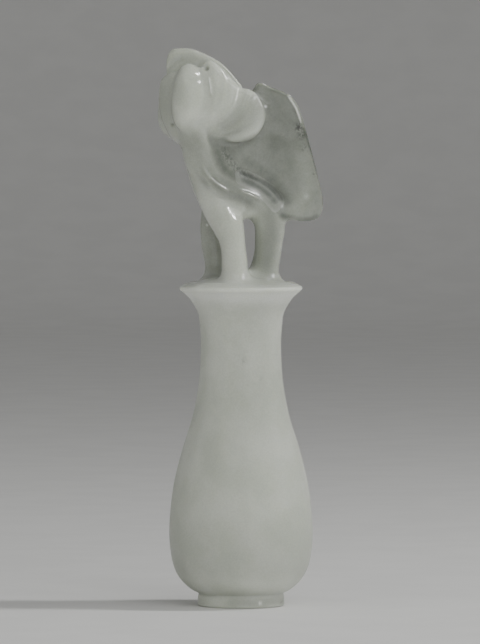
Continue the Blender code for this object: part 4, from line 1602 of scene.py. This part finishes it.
@dataclass
class Studio:
    """A pale floor that sweeps up far away, soft lamps and the camera, in metres."""

    middle: Vector
    frame_height: float
    camera_distance: float = 1.16
    camera_elevation: float = 2.0  # in degrees
    sensor: float = 36.0  # in millimetres
    floor_radius: float = 1.35
    sweep_radius: float = 0.6
    floor_paint: PlainFinish = PlainFinish("floor_paint", (0.78, 0.78, 0.76))
    room_light: float = 0.24
    lamps: tuple[Lamp, ...] = (
        Lamp("key", (0.44, -0.02, 0.50), 2.1, 0.05, 0.27),
        Lamp("front", (0.24, -0.78, 0.24), 3.3, 0.6, 0.6, mirrored=False),
        Lamp("fill", (-0.66, -0.62, 0.05), 2.5, 0.8, 0.8, mirrored=False),
        Lamp("side", (0.68, -0.44, 0.12), 2.1, 0.6, 0.6, mirrored=False),
    )

    def build(self) -> None:
        """Sets up the floor, the lamps, the world and the camera."""
        self.floor()
        for lamp in self.lamps:
            lamp.add(self.middle)
        self.world()
        self.camera()

    def floor(self) -> None:
        """Lays the floor, a round sheet whose far edge sweeps up."""
        rings = [(self.floor_radius * i / 8, 0.0) for i in range(9)]
        centre = (self.floor_radius, self.sweep_radius)
        rings += arc(centre, self.sweep_radius, start=-90, end=0, steps=16)[1:]
        shape = bmesh.new()
        line = [shape.verts.new((r, 0.0, z)) for r, z in rings]
        edges = [shape.edges.new(pair) for pair in zip(line, line[1:])]
        bmesh.ops.spin(
            shape, geom=line + edges, axis=(0, 0, 1), cent=(0, 0, 0), steps=96, angle=math.tau,
            use_merge=True,
        )
        bmesh.ops.remove_doubles(shape, verts=shape.verts, dist=MERGE)
        floor = object_from(shape, "floor")
        if floor.data.polygons[0].normal.z < 0.0:
            floor.data.flip_normals()
        floor.data.shade_smooth()
        floor.data.materials.append(self.floor_paint.material())

    def world(self) -> None:
        """Fills the room with an even, dim light."""
        world = bpy.data.worlds.new("room")
        world.use_nodes = True
        background = world.node_tree.nodes["Background"]
        background.inputs["Color"].default_value = (1.0, 1.0, 1.0, 1.0)
        background.inputs["Strength"].default_value = self.room_light
        bpy.context.scene.world = world

    def camera(self) -> None:
        """Places the camera."""
        data = bpy.data.cameras.new("camera")
        data.sensor_width = self.sensor
        data.lens = self.sensor * self.camera_distance / self.frame_height
        data.clip_end = 10.0
        tilt = math.radians(self.camera_elevation)
        direction = Vector((0.0, -math.cos(tilt), math.sin(tilt)))
        camera = new_object("camera", data)
        camera.location = self.middle + direction * self.camera_distance
        camera.rotation_euler = (-direction).to_track_quat("-Z", "Y").to_euler()
        bpy.context.scene.camera = camera


def clear_startup() -> None:
    """Removes what is in the scene besides the frame."""
    kept = set(frame["bodies"].values()) | set(frame["nodes"].values())
    for obj in list(bpy.data.objects):
        if obj not in kept:
            bpy.data.objects.remove(obj)


def main() -> None:
    """Builds the stone and the studio, and logs the stone's triangles."""
    logging.basicConfig(level=logging.INFO, format="%(name)s: %(message)s")
    clear_startup()
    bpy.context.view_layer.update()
    low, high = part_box(NODE)
    vase = TurnedVase(belly_radius=(high.y - low.y) / 2.0 / MM)
    carving = Carving(Stems(vase.mouth_height), Bloom(), Leaf(), Relief())
    stone = JadeVase(vase, carving, JadeFinish()).build()
    log.info("%s: %d triangles", stone.name, len(stone.data.polygons))
    across, above = -0.18 * MM, 0.87 * MM  # where the camera looks, from the vase's middle
    middle = Vector((across, 0.0, (low.z + high.z) / 2.0 + above))
    Studio(middle, frame_height=115.4 * MM).build()
    log.info("studio: floor, lamps and camera")


if __name__ == "__main__":
    main()
